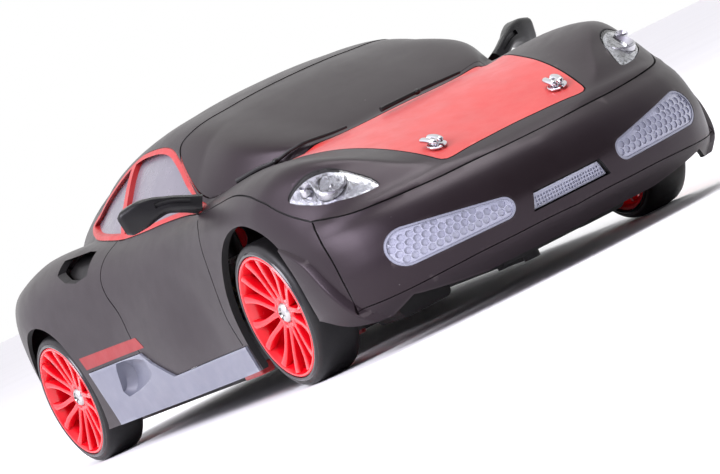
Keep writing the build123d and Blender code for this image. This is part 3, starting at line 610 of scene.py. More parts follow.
def fog_outline(side, grow=0.0):
    """Two arcs of different size and the straight lines that touch them."""
    (y1, z1, r1), (y2, z2, r2) = FOG_INNER, FOG_OUTER
    lean, reach = math.atan2(z2 - z1, y2 - y1), math.hypot(z2 - z1, y2 - y1)
    spread = math.acos((r1 - r2) / reach)
    out = []
    for y, z, r, first, last in ((y2, z2, r2, -spread, spread), (y1, z1, r1, spread, 2 * math.pi - spread)):
        for a in np.linspace(first, last, 28) + lean:
            out.append((side * (y + (r + grow) * math.cos(a)), z + (r + grow) * math.sin(a)))
    return out


def headlight(side, grow=0.0):
    return [(x, side * y) for x, y in inset(through(HEADLIGHT, 6, closed=True), -grow)]


def across_flank(side, low, high=60):
    """Ends of a span along Y over one flank, the lower one first."""
    return sorted((side * low, side * high))


def flank_prism(outline, side, low=18, high=60):
    return prism(outline, "y", *across_flank(side, low, high))


def flank_box(side, x0, x1, y0=18, y1=60, z0=0, z1=60):
    y0, y1 = across_flank(side, y0, y1)
    return (x0, y0, z0), (x1, y1, z1)


# ------------------------------------------------------------------ painted shell
def shell_tools():
    """Everything that is cut out of the shell, apart from its narrow lines."""
    tools = [below_sill(), prism(mirrored_outline(WINDSCREEN), "z", 33, 60),
             prism(mirrored_outline(REAR_WINDOW), "z", 33, 60), prism(GRILLE, "x", 80, 100),
             prism(REAR_GRILLE, "x", -100, -80)]
    for side in (-1, 1):
        tools += [prism(headlight(side), "z", 20, 45), prism(fog_outline(side), "x", 75, 100)]
        for outline in (through(FRAME, 6, closed=True), SKIRT, INTAKE):
            tools.append(flank_prism(outline, side))
        for x, radius in ARCHES:
            tools.append(disc(radius, (x, AXLE_Z), "y", *across_flank(side, 33), n=120))
        for y, z in TAIL_LAMPS:
            tools.append(disc(TAIL_LAMP_R, (side * y, z), "x", -100, -80))
        tools.append(disc(EXHAUST_R + 0.4, (side * EXHAUST_Y, EXHAUST_Z), "x", -105, -80))
    return tools


def groove_tools():
    panel = mirrored_outline(BONNET_PANEL)
    lifted = cast(np.c_[panel, np.full(len(panel), 24.0)], np.array([[0, 0, 30.0]]))
    tools = [groove_tool(lifted, 0.4, closed=True, soft=False), groove_tool(NOSE_LINE),
             groove_tool(LIP_LINE, 0.3, 0.3), groove_tool(TAIL_LINE), groove_tool(ENGINE_LID, 0.35)]
    for line in (WING_LINE, BUMPER_LINE, DOOR_REAR, DOOR_FRONT):
        tools += both(groove_tool(line))
    return tools


def inside_outline(outline, points):
    """Which flat points lie inside a closed outline."""
    outline = np.asarray(outline, float)
    x, y = points.T
    inside = np.zeros(len(points), bool)
    for (x1, y1), (x2, y2) in zip(outline, np.roll(outline, -1, axis=0)):
        crosses = (y1 > y) != (y2 > y)
        at = (x2 - x1) * (y - y1) / np.where(abs(y2 - y1) < 1e-9, 1e-9, y2 - y1) + x1
        inside ^= crosses & (x < at)
    return inside


def face_centres(mesh):
    flat = np.zeros(len(mesh.polygons) * 3)
    mesh.polygons.foreach_get("center", flat)
    return flat.reshape(-1, 3) / MM


def paint(mesh, index, mask):
    """Gives the masked faces one of the mesh's materials."""
    values = np.zeros(len(mesh.polygons), int)
    mesh.polygons.foreach_get("material_index", values)
    values[mask] = index
    mesh.polygons.foreach_set("material_index", values)


def flank_y(x, z):
    """How far out the body's skin is at a side, looking along Y."""
    y = np.linspace(24, 46, 221)
    grid = np.stack([np.repeat(x, len(y)), np.tile(y, len(x)), np.repeat(z, len(y))], axis=1)
    depth = field(grid).reshape(len(x), len(y))
    k = np.maximum((depth > 0).argmax(axis=1), 1)
    row = np.arange(len(x))
    near, far = depth[row, k - 1], depth[row, k]
    return y[k - 1] + (y[1] - y[0]) * near / (near - far)


def wing_fold():
    """Raised blade of the right front wing: a crisp fold that falls away towards the wheel arch."""
    path = through([(x, 0, z) for x, z in FOLD], 5)
    rise = curve(FOLD_RISE, np.linspace(0, 1, len(path)))
    shift, share = np.array(FOLD_SECTION).T
    loops = []
    for (x, _, z), high in zip(path, rise):
        xs, zs = x + shift, np.full(len(shift), z)
        out = flank_y(xs, zs) + np.where(share > 0, share * high, share)
        loops.append(np.stack([xs, -out, zs], axis=1))
    return skin(loops)


def make_shell():
    """The painted shell: openings and lines cut, bonnet panel red, the floor of each line dark."""
    solid = united(sheet(0.0, -WALL), *both(wing_fold()))
    mesh = cut(solid, *shell_tools(), *groove_tools())
    piece("shell_painted", mesh, "body bonnet seam", ["body_shell"], sharp=40)
    centres = face_centres(mesh)
    depth = field(centres)
    paint(mesh, 2, (depth < -0.17) & (depth > -WALL + 0.25))
    panel = inside_outline(mirrored_outline(BONNET_PANEL), centres[:, :2]) & (centres[:, 2] > 20)
    paint(mesh, 1, panel & (depth > -0.17))


# ------------------------------------------------------------------ materials
def fill(n, values):
    """Sets a node's sockets by name, with underscores for blanks."""
    for socket, value in values.items():
        n.inputs[socket.replace("_", " ")].default_value = value
    return n


def node(tree, kind, **values):
    return fill(tree.nodes.new("ShaderNode" + kind), values)


def noise(tree, coords, scale, detail=4.0, rough=0.55):
    n = node(tree, "TexNoise", Scale=scale, Detail=detail, Roughness=rough)
    tree.links.new(coords, n.inputs["Vector"])
    return n.outputs["Fac"]


def ramp(tree, value, stops):
    """Colour or grey value over a factor; a stop is (place, colour or grey)."""
    n = node(tree, "ValToRGB")
    elements = n.color_ramp.elements
    elements[0].position, elements[1].position = stops[0][0], stops[-1][0]
    for _ in stops[1:-1]:
        elements.new(0.5)
    for element, (at, colour) in zip(elements, stops):
        element.position = at
        element.color = (*colour, 1) if isinstance(colour, tuple) else (colour, colour, colour, 1)
    tree.links.new(value, n.inputs["Fac"])
    return n.outputs["Color"]


def mix(tree, factor, colour, other):
    n = node(tree, "MixRGB", Color2=(*other, 1))
    tree.links.new(factor, n.inputs["Fac"])
    tree.links.new(colour, n.inputs["Color1"])
    return n.outputs["Color"]


DUST = (0.42, 0.4, 0.4)


def surface(name, colour, rough, vary=0.12, patch=120, grain=2600, bump_mm=0.012, rough_vary=0.08, wear=None,
            specks=0.0, **sockets):
    """A procedural material: mottled colour and gloss, fine grain, paler worn edges and a few dust specks."""
    m = bpy.data.materials.new(name)
    m.use_nodes = True
    tree = m.node_tree
    bsdf, link = tree.nodes["Principled BSDF"], tree.links.new
    coords = node(tree, "TexCoord").outputs["Object"]
    dark = tuple(c * (1 - vary) for c in colour)
    light = tuple(min(c * (1 + vary), 1) for c in colour)
    tint = ramp(tree, noise(tree, coords, patch), [(0.3, dark), (0.7, light)])
    if wear is not None:
        edge = node(tree, "NewGeometry").outputs["Pointiness"]
        tint = mix(tree, ramp(tree, edge, [(0.53, 0), (0.62, 0.8)]), tint, wear)
    if specks:
        dust = node(tree, "TexVoronoi", Scale=420)
        link(coords, dust.inputs["Vector"])
        near = ramp(tree, dust.outputs["Distance"], [(0.035, specks), (0.06, 0)])
        some = ramp(tree, noise(tree, coords, 230, 2), [(0.6, 0), (0.66, 1)])
        both_of = node(tree, "Math")
        both_of.operation = "MULTIPLY"
        link(near, both_of.inputs[0])
        link(some, both_of.inputs[1])
        tint = mix(tree, both_of.outputs[0], tint, DUST)
    link(tint, bsdf.inputs["Base Color"])
    gloss = noise(tree, coords, patch * 2.3, 5)
    smooth = max(rough - rough_vary, 0.02)
    link(ramp(tree, gloss, [(0.3, smooth), (0.7, rough + rough_vary)]), bsdf.inputs["Roughness"])
    fine = node(tree, "Bump", Distance=bump_mm * MM, Strength=1.0)
    link(noise(tree, coords, grain, 3, 0.6), fine.inputs["Height"])
    link(fine.outputs["Normal"], bsdf.inputs["Normal"])
    fill(bsdf, sockets)
    return m


ROSE = (1, 0.84, 0.95, 1)


def make_materials():
    rubber = dict(vary=0.15, patch=300, grain=4000, bump_mm=0.02)
    plain = dict(vary=0.15, grain=5000, bump_mm=0.02)
    return {
        "body": surface("body", (0.0125, 0.0085, 0.0100), 0.35, vary=0.05, rough_vary=0.03, grain=5200,
                        specks=0.7, wear=(0.05, 0.042, 0.043), Specular_IOR_Level=0.31, Specular_Tint=ROSE),
        "bonnet": surface("bonnet_red", (0.52, 0.012, 0.009), 0.42, vary=0.05, grain=5200, bump_mm=0.010,
                          specks=0.4, wear=(0.6, 0.08, 0.07), Specular_IOR_Level=0.7, Sheen_Weight=0.35,
                          Sheen_Roughness=0.3),
        "seam": surface("seam_shadow", (0.012, 0.011, 0.011), 0.8, **plain),
        "screen": surface("smoked_screen", (0.014, 0.0100, 0.0108), 0.33, vary=0.04, rough_vary=0.02,
                          grain=3800, bump_mm=0.006, specks=0.5, Specular_IOR_Level=0.26, Specular_Tint=ROSE),
        "frame_red": surface("window_frame_red", (0.40, 0.02, 0.022), 0.42, vary=0.06,
                             wear=(0.5, 0.07, 0.07)),
        "stripe": surface("stripe_red", (0.26, 0.016, 0.018), 0.5, vary=0.08),
        "glazing": surface("side_glazing", (0.17, 0.16, 0.19), 0.3, vary=0.04, bump_mm=0.001,
                           Transmission_Weight=0.08, IOR=1.46),
        "skirt": surface("skirt_grey", (0.165, 0.172, 0.215), 0.46, vary=0.05, wear=(0.33, 0.35, 0.4),
                         specks=0.3),
        "pale": surface("grille_pale", (0.42, 0.435, 0.54), 0.3, vary=0.05, wear=(0.5, 0.52, 0.6),
                        bump_mm=0.015, Transmission_Weight=0.1, IOR=1.49, Coat_Weight=0.3,
                        Coat_Roughness=0.15),
        # Darker grey: the fog grille rims, and painted shade inside the fog grille cells.
        "pale_deep": surface("grille_hollow", (0.27, 0.28, 0.35), 0.4, vary=0.08),
        "trim": surface("black_trim", (0.006, 0.0055, 0.0055), 0.45, wear=(0.02, 0.02, 0.02),
                        Specular_IOR_Level=0.35, **plain),
        "mirror": surface("mirror_black", (0.005, 0.005, 0.0055), 0.34, wear=(0.012, 0.012, 0.012),
                          specks=0.6, Specular_IOR_Level=0.3, **plain),
        "lens": surface("clear_lens", (0.95, 0.96, 0.98), 0.04, vary=0.02, bump_mm=0.004, rough_vary=0.02,
                        Transmission_Weight=1.0, IOR=1.45),
        "silver": surface("silver_reflector", (0.50, 0.50, 0.53), 0.24, vary=0.06, bump_mm=0.004,
                          Metallic=1.0),
        "chrome": surface("chrome", (0.66, 0.66, 0.69), 0.12, vary=0.05, bump_mm=0.006,
                          rough_vary=0.05, Metallic=1.0),
        "tail": surface("tail_red", (0.42, 0.012, 0.016), 0.12, vary=0.08, Transmission_Weight=0.25, IOR=1.49,
                        Coat_Weight=0.6),
        "rim": surface("rim_red", (0.72, 0.002, 0.010), 0.2, vary=0.04, bump_mm=0.004,
                       wear=(0.85, 0.03, 0.04), Coat_Weight=0.5, Coat_Roughness=0.1,
                       Subsurface_Weight=0.1, Subsurface_Scale=0.001),
        "tyre": surface("tyre_slick", (0.008, 0.0075, 0.008), 0.42, specks=0.3, Specular_IOR_Level=0.32,
                        **rubber),
        "bead": surface("tyre_bead", (0.010, 0.011, 0.013), 0.16, Coat_Weight=0.3, **rubber),
        "steel": surface("steel", (0.5, 0.49, 0.48), 0.28, vary=0.08, Metallic=1.0, wear=(0.8, 0.8, 0.8)),
        "chassis": surface("chassis_black", (0.011, 0.0105, 0.011), 0.5, wear=(0.035, 0.035, 0.035),
                           Specular_IOR_Level=0.35, **plain),
        "red_part": surface("red_moulding", (0.30, 0.005, 0.008), 0.38, vary=0.08, wear=(0.55, 0.05, 0.05)),
        "nylon": surface("gear_nylon", (0.74, 0.73, 0.68), 0.42, vary=0.05, wear=(0.85, 0.85, 0.82)),
        "brass": surface("brass", (0.72, 0.52, 0.22), 0.25, Metallic=1.0, wear=(0.85, 0.7, 0.4)),
        "board": surface("board_green", (0.02, 0.14, 0.055), 0.35, vary=0.2, patch=900,
                         wear=(0.3, 0.35, 0.2)),
        "cell": surface("cell_wrap", (0.05, 0.17, 0.42), 0.25, vary=0.08, Coat_Weight=0.4),
        "arm": surface("arm_plastic", (0.03, 0.03, 0.033), 0.42, wear=(0.1, 0.1, 0.1), **plain),
        "floor": surface("floor", (0.95, 0.95, 0.95), 0.6, vary=0.02, patch=8, grain=900, bump_mm=0.02),
    }


MAT = make_materials()

# Which material each CAD node that stays visible wears.
NODE_LOOKS = {
    "chassis": ["chassis_tub", "front_lower_arms", "front_upper_arms", "front_gearbox", "rear_gearbox",
                "battery_covers", "steering_servo", "power_switch", "steering_trim_lever"],
    "red_part": ["knuckle_left", "knuckle_right", "rear_hub_carriers"],
    "steel": ["stub_axle_left", "stub_axle_right", "rear_axle", "front_axle", "centre_shaft", "dogbones",
              "motor_shaft", "gearbox_screws", "motor"],
    "nylon": ["rear_crown_gear", "front_crown_gear", "bevel_pinions", "spur_gear"],
    "brass": ["motor_pinion", "axle_bushes"], "board": ["circuit_board"], "cell": ["battery_cells"],
    "arm": ["tie_rod", "servo_arm"],
}


def dress_nodes():
    """Puts a material on each CAD node that no piece replaces."""
    for look, names in NODE_LOOKS.items():
        for name in names:
            dress(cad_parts[name].data, look)


# ------------------------------------------------------------------ pieces let into the shell
def let_in(levels, outline, axis, span, box_at):
    """The part of a sheet under an outline; box_at holds two corners of a box round it."""
    return combine(sheet(*levels, *box_at), prism(outline, axis, *span), "INTERSECT")


def through_flank(outline, levels, side, box_at, low):
    """The part of a sheet under an outline of (x, z) on one flank."""
    return combine(sheet(*levels, *box_at), flank_prism(outline, side, low), "INTERSECT")


def make_screens():
    """Dark windscreen and louvred rear window, just below the skin."""
    glass, over = (-0.12, -WALL), (33, 60)
    front, rear = (inset(mirrored_outline(half), 0.25) for half in (WINDSCREEN, REAR_WINDOW))
    front = let_in(glass, front, "z", over, ((5, -36, 31), (54, 36, 60)))
    piece("windscreen_panel", front, "screen", ["windscreen"])
    rear = let_in(glass, rear, "z", over, ((-70, -22, 31), (-25, 22, 60)))
    for x in range(-38, -59, -5):
        rear = cut(rear, groove_tool([(x, -12, 45), (x, 0, 46), (x, 12, 45)], 0.5, 0.4))
    piece("rear_window_panel", rear, "screen", ["rear_window"])


def make_side_windows():
    """Red frame with its pillar, standing just proud, round recessed milky panes."""
    outer, inner = through(FRAME, 6, closed=True), through(PANE, 6, closed=True)
    panes = []
    for side in (-1, 1):
        box_at = flank_box(side, -52, 32, 14, 60, 32)
        hole = cut(flank_prism(inner, side), flank_prism(PILLAR, side, 15, 65))
        frame_mesh = cut(through_flank(inset(outer, 0.08), (0.15, -WALL), side, box_at, 18), hole)
        name = "right" if side < 0 else "left"
        piece("window_frame_" + name, frame_mesh, "frame_red")
        panes.append(through_flank(inset(inner, -0.1), (-0.8, -WALL + 0.05), side, box_at, 18))
    piece("side_panes", joined(*panes), "glazing", ["side_glazing"])


def ball(centre, radii, segments, rings):
    loops = []
    for a in np.linspace(0.02, math.pi - 0.02, rings):
        loop = [(math.sin(a) * math.cos(b), math.sin(a) * math.sin(b), math.cos(a)) for b in turns(segments)]
        loops.append(np.array(loop) * radii)
    return moved(skin(loops), place(*centre))


def scoop_tool(side):
    """Bowl that is deep and steep at its rear end and runs out towards the front."""
    loops = []
    for t in np.linspace(0, 1, 26):
        depth = 3.2 * (1 - t) ** 0.8 * min(1, 0.35 + 9 * t) + 0.05
        height = 3.35 * (1 - 0.55 * t ** 2) * min(1, 0.6 + 6 * t)
        a = turns(40)
        x = -27.2 + 18 * t + 0.9 * np.sin(a) * (1 - t)
        loops.append(np.c_[x, side * (40.2 - depth * np.cos(a)), 13.2 + 0.5 * t + height * np.sin(a)])
    return skin(loops)


def make_skirts():
    """Grey side skirts, proud of the doors, with a scoop before the rear wheel."""
    panels = []
    for side in (-1, 1):
        body = sheet(0.45, -WALL, *flank_box(side, -44, 40, 25, 60, -1, 22))
        backing = sheet(0, -5, *flank_box(side, -30.5, -6, 25, 60, 7.5, 19))
        panel = combine(united(body, backing), flank_prism(inset(SKIRT, 0.12), side, 30), "INTERSECT")
        arch = disc(ARCHES[1][1], (REAR_X, AXLE_Z), "y", *across_flank(side, 30), n=96)
        panels.append(cut(panel, below_sill(), arch, scoop_tool(side)))
    piece("side_skirt_panels", joined(*panels), "skirt", ["side_skirts"])


def make_sill_fitting():
    """Small red moulding that shows under the right sill."""
    mesh = softened(block(15.5, 24, -35.2, -32.4, 4.3, 6.4), 0.35, 3)
    piece("sill_fitting", mesh, "red_part")


def make_stripes():
    """Red stripe on each flank, a film on the paint."""
    strips = [through_flank(STRIPE, (0.06, -0.4), side, flank_box(side, -44, -5, 25, 60, 12, 26), 30)
              for side in (-1, 1)]
    piece("flank_stripes", joined(*strips), "stripe")


def make_intakes():
    """Dark plates behind the openings in the rear haunches."""
    plate = inset(INTAKE, -0.9)
    plates = [through_flank(plate, (-2.6, -3.4), side, flank_box(side, -46, -18, 20, 60, 28, 44), 22)
              for side in (-1, 1)]
    piece("haunch_intake_plates", joined(*plates), "trim", ["haunch_intakes"])


NOSE_END, TAIL_END = ((70, -22, 2), (100, 22, 26)), ((-100, -22, 2), (-70, 22, 26))


def honeycomb(outline, pitch, radius):
    """Round cutters along X that fill an outline of (y, z)."""
    outline = np.asarray(outline, float)
    (y0, z0), (y1, z1) = outline.min(axis=0), outline.max(axis=0)
    keep_in = inset(outline, radius * 0.45)
    cells, row, z = [], 0, z0
    while z < z1:
        for y in np.arange(y0 - pitch + (row % 2) * pitch / 2, y1 + pitch, pitch):
            if inside_outline(keep_in, np.array([[y, z]]))[0]:
                cells.append(prism(ring(radius, 18) + np.array((y, z)), "x", 78, 96))
        z += pitch * math.sqrt(3) / 2
        row += 1
    return joined(*cells)


def make_fog_grilles():
    """Honeycomb lamp grilles: a raised border round a pale plate with shallow round cells, painted darker
    grey inside the cells as shade.
    """
    plates, rims, span = [], [], (75, 100)
    for side in (-1, 1):
        outline = fog_outline(side, -0.45)
        box_at = flank_box(side, 70, 100, 4, 45, 2, 26)
        tools = combine(sheet(0.8, -0.62, *box_at), honeycomb(outline, 1.36, 0.61), "INTERSECT")
        plates.append(cut(let_in((-0.35, -WALL), outline, "x", span, box_at), tools))
        outer, inner = fog_outline(side, -0.05), fog_outline(side, -0.42)
        border = cut(prism(outer, "x", *span), prism(inner, "x", 70, 105))
        rims.append(combine(sheet(-0.1, -WALL, *box_at), border, "INTERSECT"))
    o = piece("fog_grille_plates", joined(*plates), "pale pale_deep",
              ["fog_grilles"], sharp=50)
    centres = face_centres(o.data)
    depth = field(centres)
    # Painted shade: the faces inside the cells take the darker grey.
    paint(o.data, 1, (depth < -0.40) & (depth > -0.59))
    piece("fog_grille_rims", joined(*rims), "pale_deep")


def slatted(outline, span, end, level, pitch_y, pitch_z, bar):
    """A plate cut into small rectangular cells seen along X."""
    outline = np.asarray(outline, float)
    plate = let_in((level, -WALL), inset(outline, 0.3), "x", span, end)
    (y0, z0), (y1, z1) = outline.min(axis=0), outline.max(axis=0)
    w, h = (pitch_y - bar) / 2, (pitch_z - bar) / 2
    cells, keep_in = [], inset(outline, 0.65)
    for y in np.arange(y0 + pitch_y / 2, y1, pitch_y):
        for z in np.arange(z0 + pitch_z / 2, z1, pitch_z):
            if inside_outline(keep_in, np.array([[y, z]]))[0]:
                corners = [(y - w, z - h), (y + w, z - h), (y + w, z + h), (y - w, z + h)]
                cells.append(prism(corners, "x", *span))
    return cut(plate, combine(sheet(0.8, level - 0.3, *end), joined(*cells), "INTERSECT"))


def make_grilles():
    """Centre grille with a black plate behind it standing in for the shade in its recess, and the rear
    grille.
    """
    span = (78, 100)
    front = slatted(GRILLE, span, NOSE_END, -0.95, 0.58, 0.58, 0.2)
    piece("centre_grille_mesh", front, "pale", ["grille_centre"], sharp=30)
    # Painted shade: a black plate behind the grille stands in for the shade inside the nose.
    backing = let_in((-1.6, -2.2), inset(GRILLE, -0.8), "x", span, NOSE_END)
    piece("centre_grille_shade_plate", backing, "trim")
    rear = slatted(REAR_GRILLE, (-100, -78), TAIL_END, -0.4, 1.3, 0.9, 0.28)
    piece("rear_grille_mesh", rear, "trim", ["rear_grille"], sharp=30)


TO_AXIS = Matrix.Rotation(math.radians(90), 4, "X")
MAIN_CUP = [(3.0, 1.3), (2.7, 1.5), (1.6, 0.2), (0.9, -0.4), (0.45, 0.9), (0.02, 1.2), (0.02, -1.3),
            (3.0, -1.3)]
SMALL_CUP = [(1.15, 0.9), (0.95, 1.1), (0.5, 0.2), (0.02, 0.1), (0.02, -0.9), (1.15, -0.9)]
LAMP_CUPS = [(MAIN_CUP, 48, 73.6, 30.2, 28.6), (SMALL_CUP, 32, 70.8, 33.4, 30.2)]


def make_headlights():
    """Clear covers over plated bowls, each with a large and a small lamp cup."""
    lenses, bowls = [], []
    for side in (-1, 1):
        box_at, turn = flank_box(side, 60, 90, 18, 45, 12, 45), (0, 32, side * 18)
        lenses.append(let_in((-0.12, -0.65), headlight(side, -0.15), "z", (18, 45), box_at))
        bowl = let_in((-0.65, -4.2), headlight(side, -0.2), "z", (15, 45), box_at)
        bowls.append(cut(bowl, let_in((0.5, -3.5), headlight(side, -0.65), "z", (15, 45), box_at)))
        for cup, segments, x, y, z in LAMP_CUPS:
            bowls.append(moved(moved(lathe(cup, segments), TO_AXIS), place(x, side * y, z, turn)))
    piece("headlight_covers", joined(*lenses), "lens", ["headlight_lenses"])
    piece("headlight_bowls", joined(*bowls), "silver", ["headlight_reflectors"])


def make_tail_lamps():
    """Four round lenses, each with a ring cut into its face."""
    lamps, back, span = [], ((-100, -30, 18), (-75, 30, 36)), (-100, -80)
    for side in (-1, 1):
        for y, z in TAIL_LAMPS:
            at = np.array([side * y, z])
            lens = let_in((0.35, -WALL), ring(TAIL_LAMP_R - 0.15, 64) + at, "x", span, back)
            groove = cut(prism(ring(2.15, 48) + at, "x", *span), prism(ring(1.8, 48) + at, "x", -105, -75))
            groove = combine(sheet(1.0, -0.1, *back), groove, "INTERSECT")
            lamps.append(softened(cut(lens, groove), 0.12, 2, 40))
    piece("tail_lamp_lenses", joined(*lamps), "tail", ["tail_lamps"])


# ------------------------------------------------------------------ wheels
SPOKE_PAIRS = 7
HUB_R = 2.75


def spoke(pair_angle, lean):
    """One curved spoke from the hub to the rim, in the wheel's own frame with +Y outwards."""
    root, tip = pair_angle + lean * 7.0, pair_angle + lean * 12.9
    path, scales = [], []
    for t in np.linspace(0, 1, 15):
        radius = HUB_R - 0.6 + (10.75 - HUB_R + 0.6) * t
        angle = math.radians(root + (tip - root) * t + lean * 5.0 * math.sin(math.pi * t))
        depth = 6.15 + 1.75 * t ** 0.8 - 0.2 * math.sin(math.pi * t)
        path.append((radius * math.cos(angle), depth, radius * math.sin(angle)))
        scales.append(1.05 - 0.25 * math.sin(math.pi * min(t * 1.15, 1)) + 0.25 * max(t - 0.85, 0) / 0.15)
    section = rounded(1.25, 1.8, 0.35, 3)
    ahead = unit(np.gradient(np.array(path), axis=0))
    side = unit(np.cross(ahead, (0, 1, 0)))
    return skin([p + np.outer(section[:, 0] * k, s) + np.outer(section[:, 1], up)
                 for p, s, up, k in zip(path, side, np.cross(side, ahead), scales)])


def rim_mesh():
    """Rim with +Y outwards, from y 0 inside to y 9 outside."""
    barrel = [(11.25, 0.3), (11.25, 0.9), (10.9, 1.4), (10.75, 3.0), (10.75, 6.6), (11.0, 7.9), (11.25, 8.35),
              (11.25, 8.75), (11.05, 8.95), (10.75, 8.9), (10.5, 8.3), (10.2, 7.4), (10.0, 6.6), (9.95, 3.0),
              (10.1, 1.2), (10.4, 0.4), (10.8, 0.15)]
    mesh = lathe(barrel, 120)
    hub = [(0.85, 1.5), (3.1, 1.5), (HUB_R + 0.45, 4.8), (HUB_R + 0.35, 6.9), (HUB_R + 0.1, 7.15),
           (HUB_R - 0.35, 7.2), (HUB_R - 0.6, 7.0), (HUB_R - 0.75, 6.3), (0.85, 6.3)]
    mesh = united(mesh, lathe(hub, 64))
    for i in range(SPOKE_PAIRS):
        for lean in (-1, 1):
            mesh = united(mesh, spoke(i * 360 / SPOKE_PAIRS + 12, lean))
    for i in range(5):
        web = prism([(2.5, -0.5), (10.2, -0.5), (10.2, 0.5), (2.5, 0.5)], "y", 1.3, 2.3)
        mesh = united(mesh, moved(web, Matrix.Rotation(math.radians(i * 72 + 20), 4, "Y")))
    return mesh


def tyre_mesh():
    """Slick tyre with a fine bead ring, the same on both sides."""
    outer = [(11.3, 8.6), (11.42, 8.95), (11.7, 9.0), (11.95, 8.85), (12.05, 8.7), (12.3, 8.72), (12.6, 8.6),
             (12.92, 8.32), (13.12, 7.95), (13.22, 7.4), (13.25, 6.6)]
    inner = [(r, 9.0 - y) for r, y in outer[::-1]]
    bore = [(11.3, 1.0), (10.95, 1.5), (10.8, 3.1), (10.8, 6.5), (11.05, 7.8)]
    return lathe(outer + inner + bore, 144)


def screw_mesh():
    """Pan-head wheel screw with a cross recess."""
    head = [(0.02, 7.75), (0.9, 7.7), (1.45, 7.5), (1.8, 7.15), (1.88, 6.8), (1.88, 6.35), (0.8, 6.35),
            (0.8, 2.0), (0.02, 2.0)]
    mesh = lathe(head, 48)
    arms = [block(-1.15, 1.15, 7.0, 8.2, -0.24, 0.24), block(-0.24, 0.24, 7.0, 8.2, -1.15, 1.15)]
    mesh = cut(mesh, *[moved(a, Matrix.Rotation(math.radians(18), 4, "Y")) for a in arms])
    return cut(mesh, ball((0, 8.1, 0), (0.75, 0.75, 0.75), 24, 12))


def make_wheels():
    """Rim, tyre and screw of each wheel; the tyre's bead faces are glossier."""
    rim, tyre, screw = rim_mesh(), tyre_mesh(), screw_mesh()
    for end, x in (("front", FRONT_X), ("rear", REAR_X)):
        for side, hand in ((1, "left"), (-1, "right")):
            at = place(x, side * WHEEL_IN, AXLE_Z) @ Matrix.Diagonal((1, side, 1, 1))
            key = f"{end}_{hand}"
            body = "rear_wheels" if end == "rear" else "wheel_" + key
            piece("rim_detail_" + key, moved(rim, at), "rim", ["rim_" + key], body, sharp=38)
            o = piece("tyre_detail_" + key, moved(tyre, at), "tyre bead", ["tyre_" + key], body,
                      sharp=40)
            centres = face_centres(o.data)
            out = abs(centres[:, 1]) - WHEEL_IN
            reach = np.hypot(centres[:, 0] - x, centres[:, 2] - AXLE_Z)
            paint(o.data, 1, (abs(out - 4.5) > 4.1) & (reach < 12.07))
            piece("wheel_screw_detail_" + key, moved(screw, at), "steel", ["wheel_screw_" + key],
                  body, sharp=35)


# ------------------------------------------------------------------ clips, wipers, mirrors and tips
def make_clips():
    """Plated body clips: a slotted round base, a post and a bent wire with two lobes."""
    parts = []
    for side in (-1, 1):
        at = place(CLIP_X, side * CLIP_Y, CLIP_Z, (0, CLIP_TILT, side * -8))
        base = softened(prism(ring(1.75, 40), "z", 0.42, 0.85), 0.12)
        base = cut(base, prism([(0.9, -0.25), (2.5, -0.25), (2.5, 0.25), (0.9, 0.25)], "z", 0, 2))
        post = prism(ring(0.5, 24), "z", -2.0, 1.7)
        lobes = []
        for lobe in (-1, 1):
            path = through([(0.9, lobe * 0.45, 1.3), (0.1, lobe * 0.72, 1.5), (-1.4, lobe * 0.86, 1.5),
                            (-2.6, lobe * 0.72, 1.3), (-3.1, lobe * 0.5, 1.15)], 6)
            ends = np.clip(np.sin(np.linspace(0.25, math.pi - 0.25, len(path))) * 1.6, 0, 1)
            lobes.append(sweep(path, ring(0.62, 14, 0.75), ends))
        bend = sweep([(-2.2, -0.8, 1.25), (-2.2, 0, 1.15), (-2.2, 0.8, 1.25)], ring(0.36, 12))
        parts.append(moved(united(base, post, *lobes, bend), at))
    piece("bonnet_clip_wires", joined(*parts), "chrome", ["bonnet_clips"], sharp=45)


def make_wipers():
    """Two thin arms with flat blades lying along the foot of the windscreen."""
    arms = []
    lines = [[(36, -29, 37.8), (40, -26.2, 38.0), (43.2, -23.8, 37.9), (46.6, -19, 37.9),
              (49.9, -11.5, 37.6)],
             [(51.2, -4.8, 37.2), (51.3, 0, 37.3), (50.9, 3.2, 37.3), (50.5, 8, 37.4), (49.7, 13, 37.6)]]
    for line in lines:
        path = to_skin(through(line, 8), 1.15)
        taper = np.linspace(1.25, 0.7, len(path))
        arms.append(sweep(path, rounded(0.85, 0.7, 0.2, 3), taper))
        arms.append(ball(path[len(path) // 2], (0.75, 0.75, 0.55), 20, 10))
    piece("wiper_arms", united(*arms), "trim", ["wipers"], sharp=45)


def mirror_mesh():
    """Right-hand mirror: a slotted curved arm that widens into an angular head."""
    spine = [(26.9, -32.6, 36.2), (25.9, -35.2, 37.6), (24.8, -37.5, 38.7), (23.4, -39.6, 39.2),
             (21.7, -41.8, 39.2), (20.1, -44.0, 39.0), (19.5, -44.9, 38.9)]
    wide, tall = [3.2, 2.8, 2.7, 3.2, 4.0, 4.2, 3.4], [3.2, 2.7, 2.8, 3.9, 5.0, 4.8, 3.6]
    path = through(spine, 6)
    knots, fine = np.linspace(0, 1, len(spine)), np.linspace(0, 1, len(path))
    loops, front = [], []
    for p, (t, _, _), w, h in zip(path, frames_along(path), curve(list(zip(knots, wide)), fine),
                                  curve(list(zip(knots, tall)), fine)):
        forward = np.array((1.0, 0.3, 0.0))
        forward = unit(forward - t * (forward @ t))
        up = np.cross(t, forward)
        up = up if up[2] > 0 else -up
        section = rounded(w, h, min(w, h) * 0.24, 4)
        loops.append(p + np.outer(section[:, 0], forward) + np.outer(section[:, 1], up))
        front.append(p + forward * w / 2 + up * 0.15)
    slot_path = front[len(front) // 9:len(front) // 2]
    return cut(skin(loops), sweep(slot_path, rounded(0.9, 0.9, 0.3, 3)))


def make_mirrors():
    arm = mirror_mesh()
    for side, hand in ((-1, "right"), (1, "left")):
        mesh = arm if side < 0 else moved(arm, MIRROR)
        piece("mirror_detail_" + hand, mesh, "mirror", ["mirror_" + hand], sharp=40)


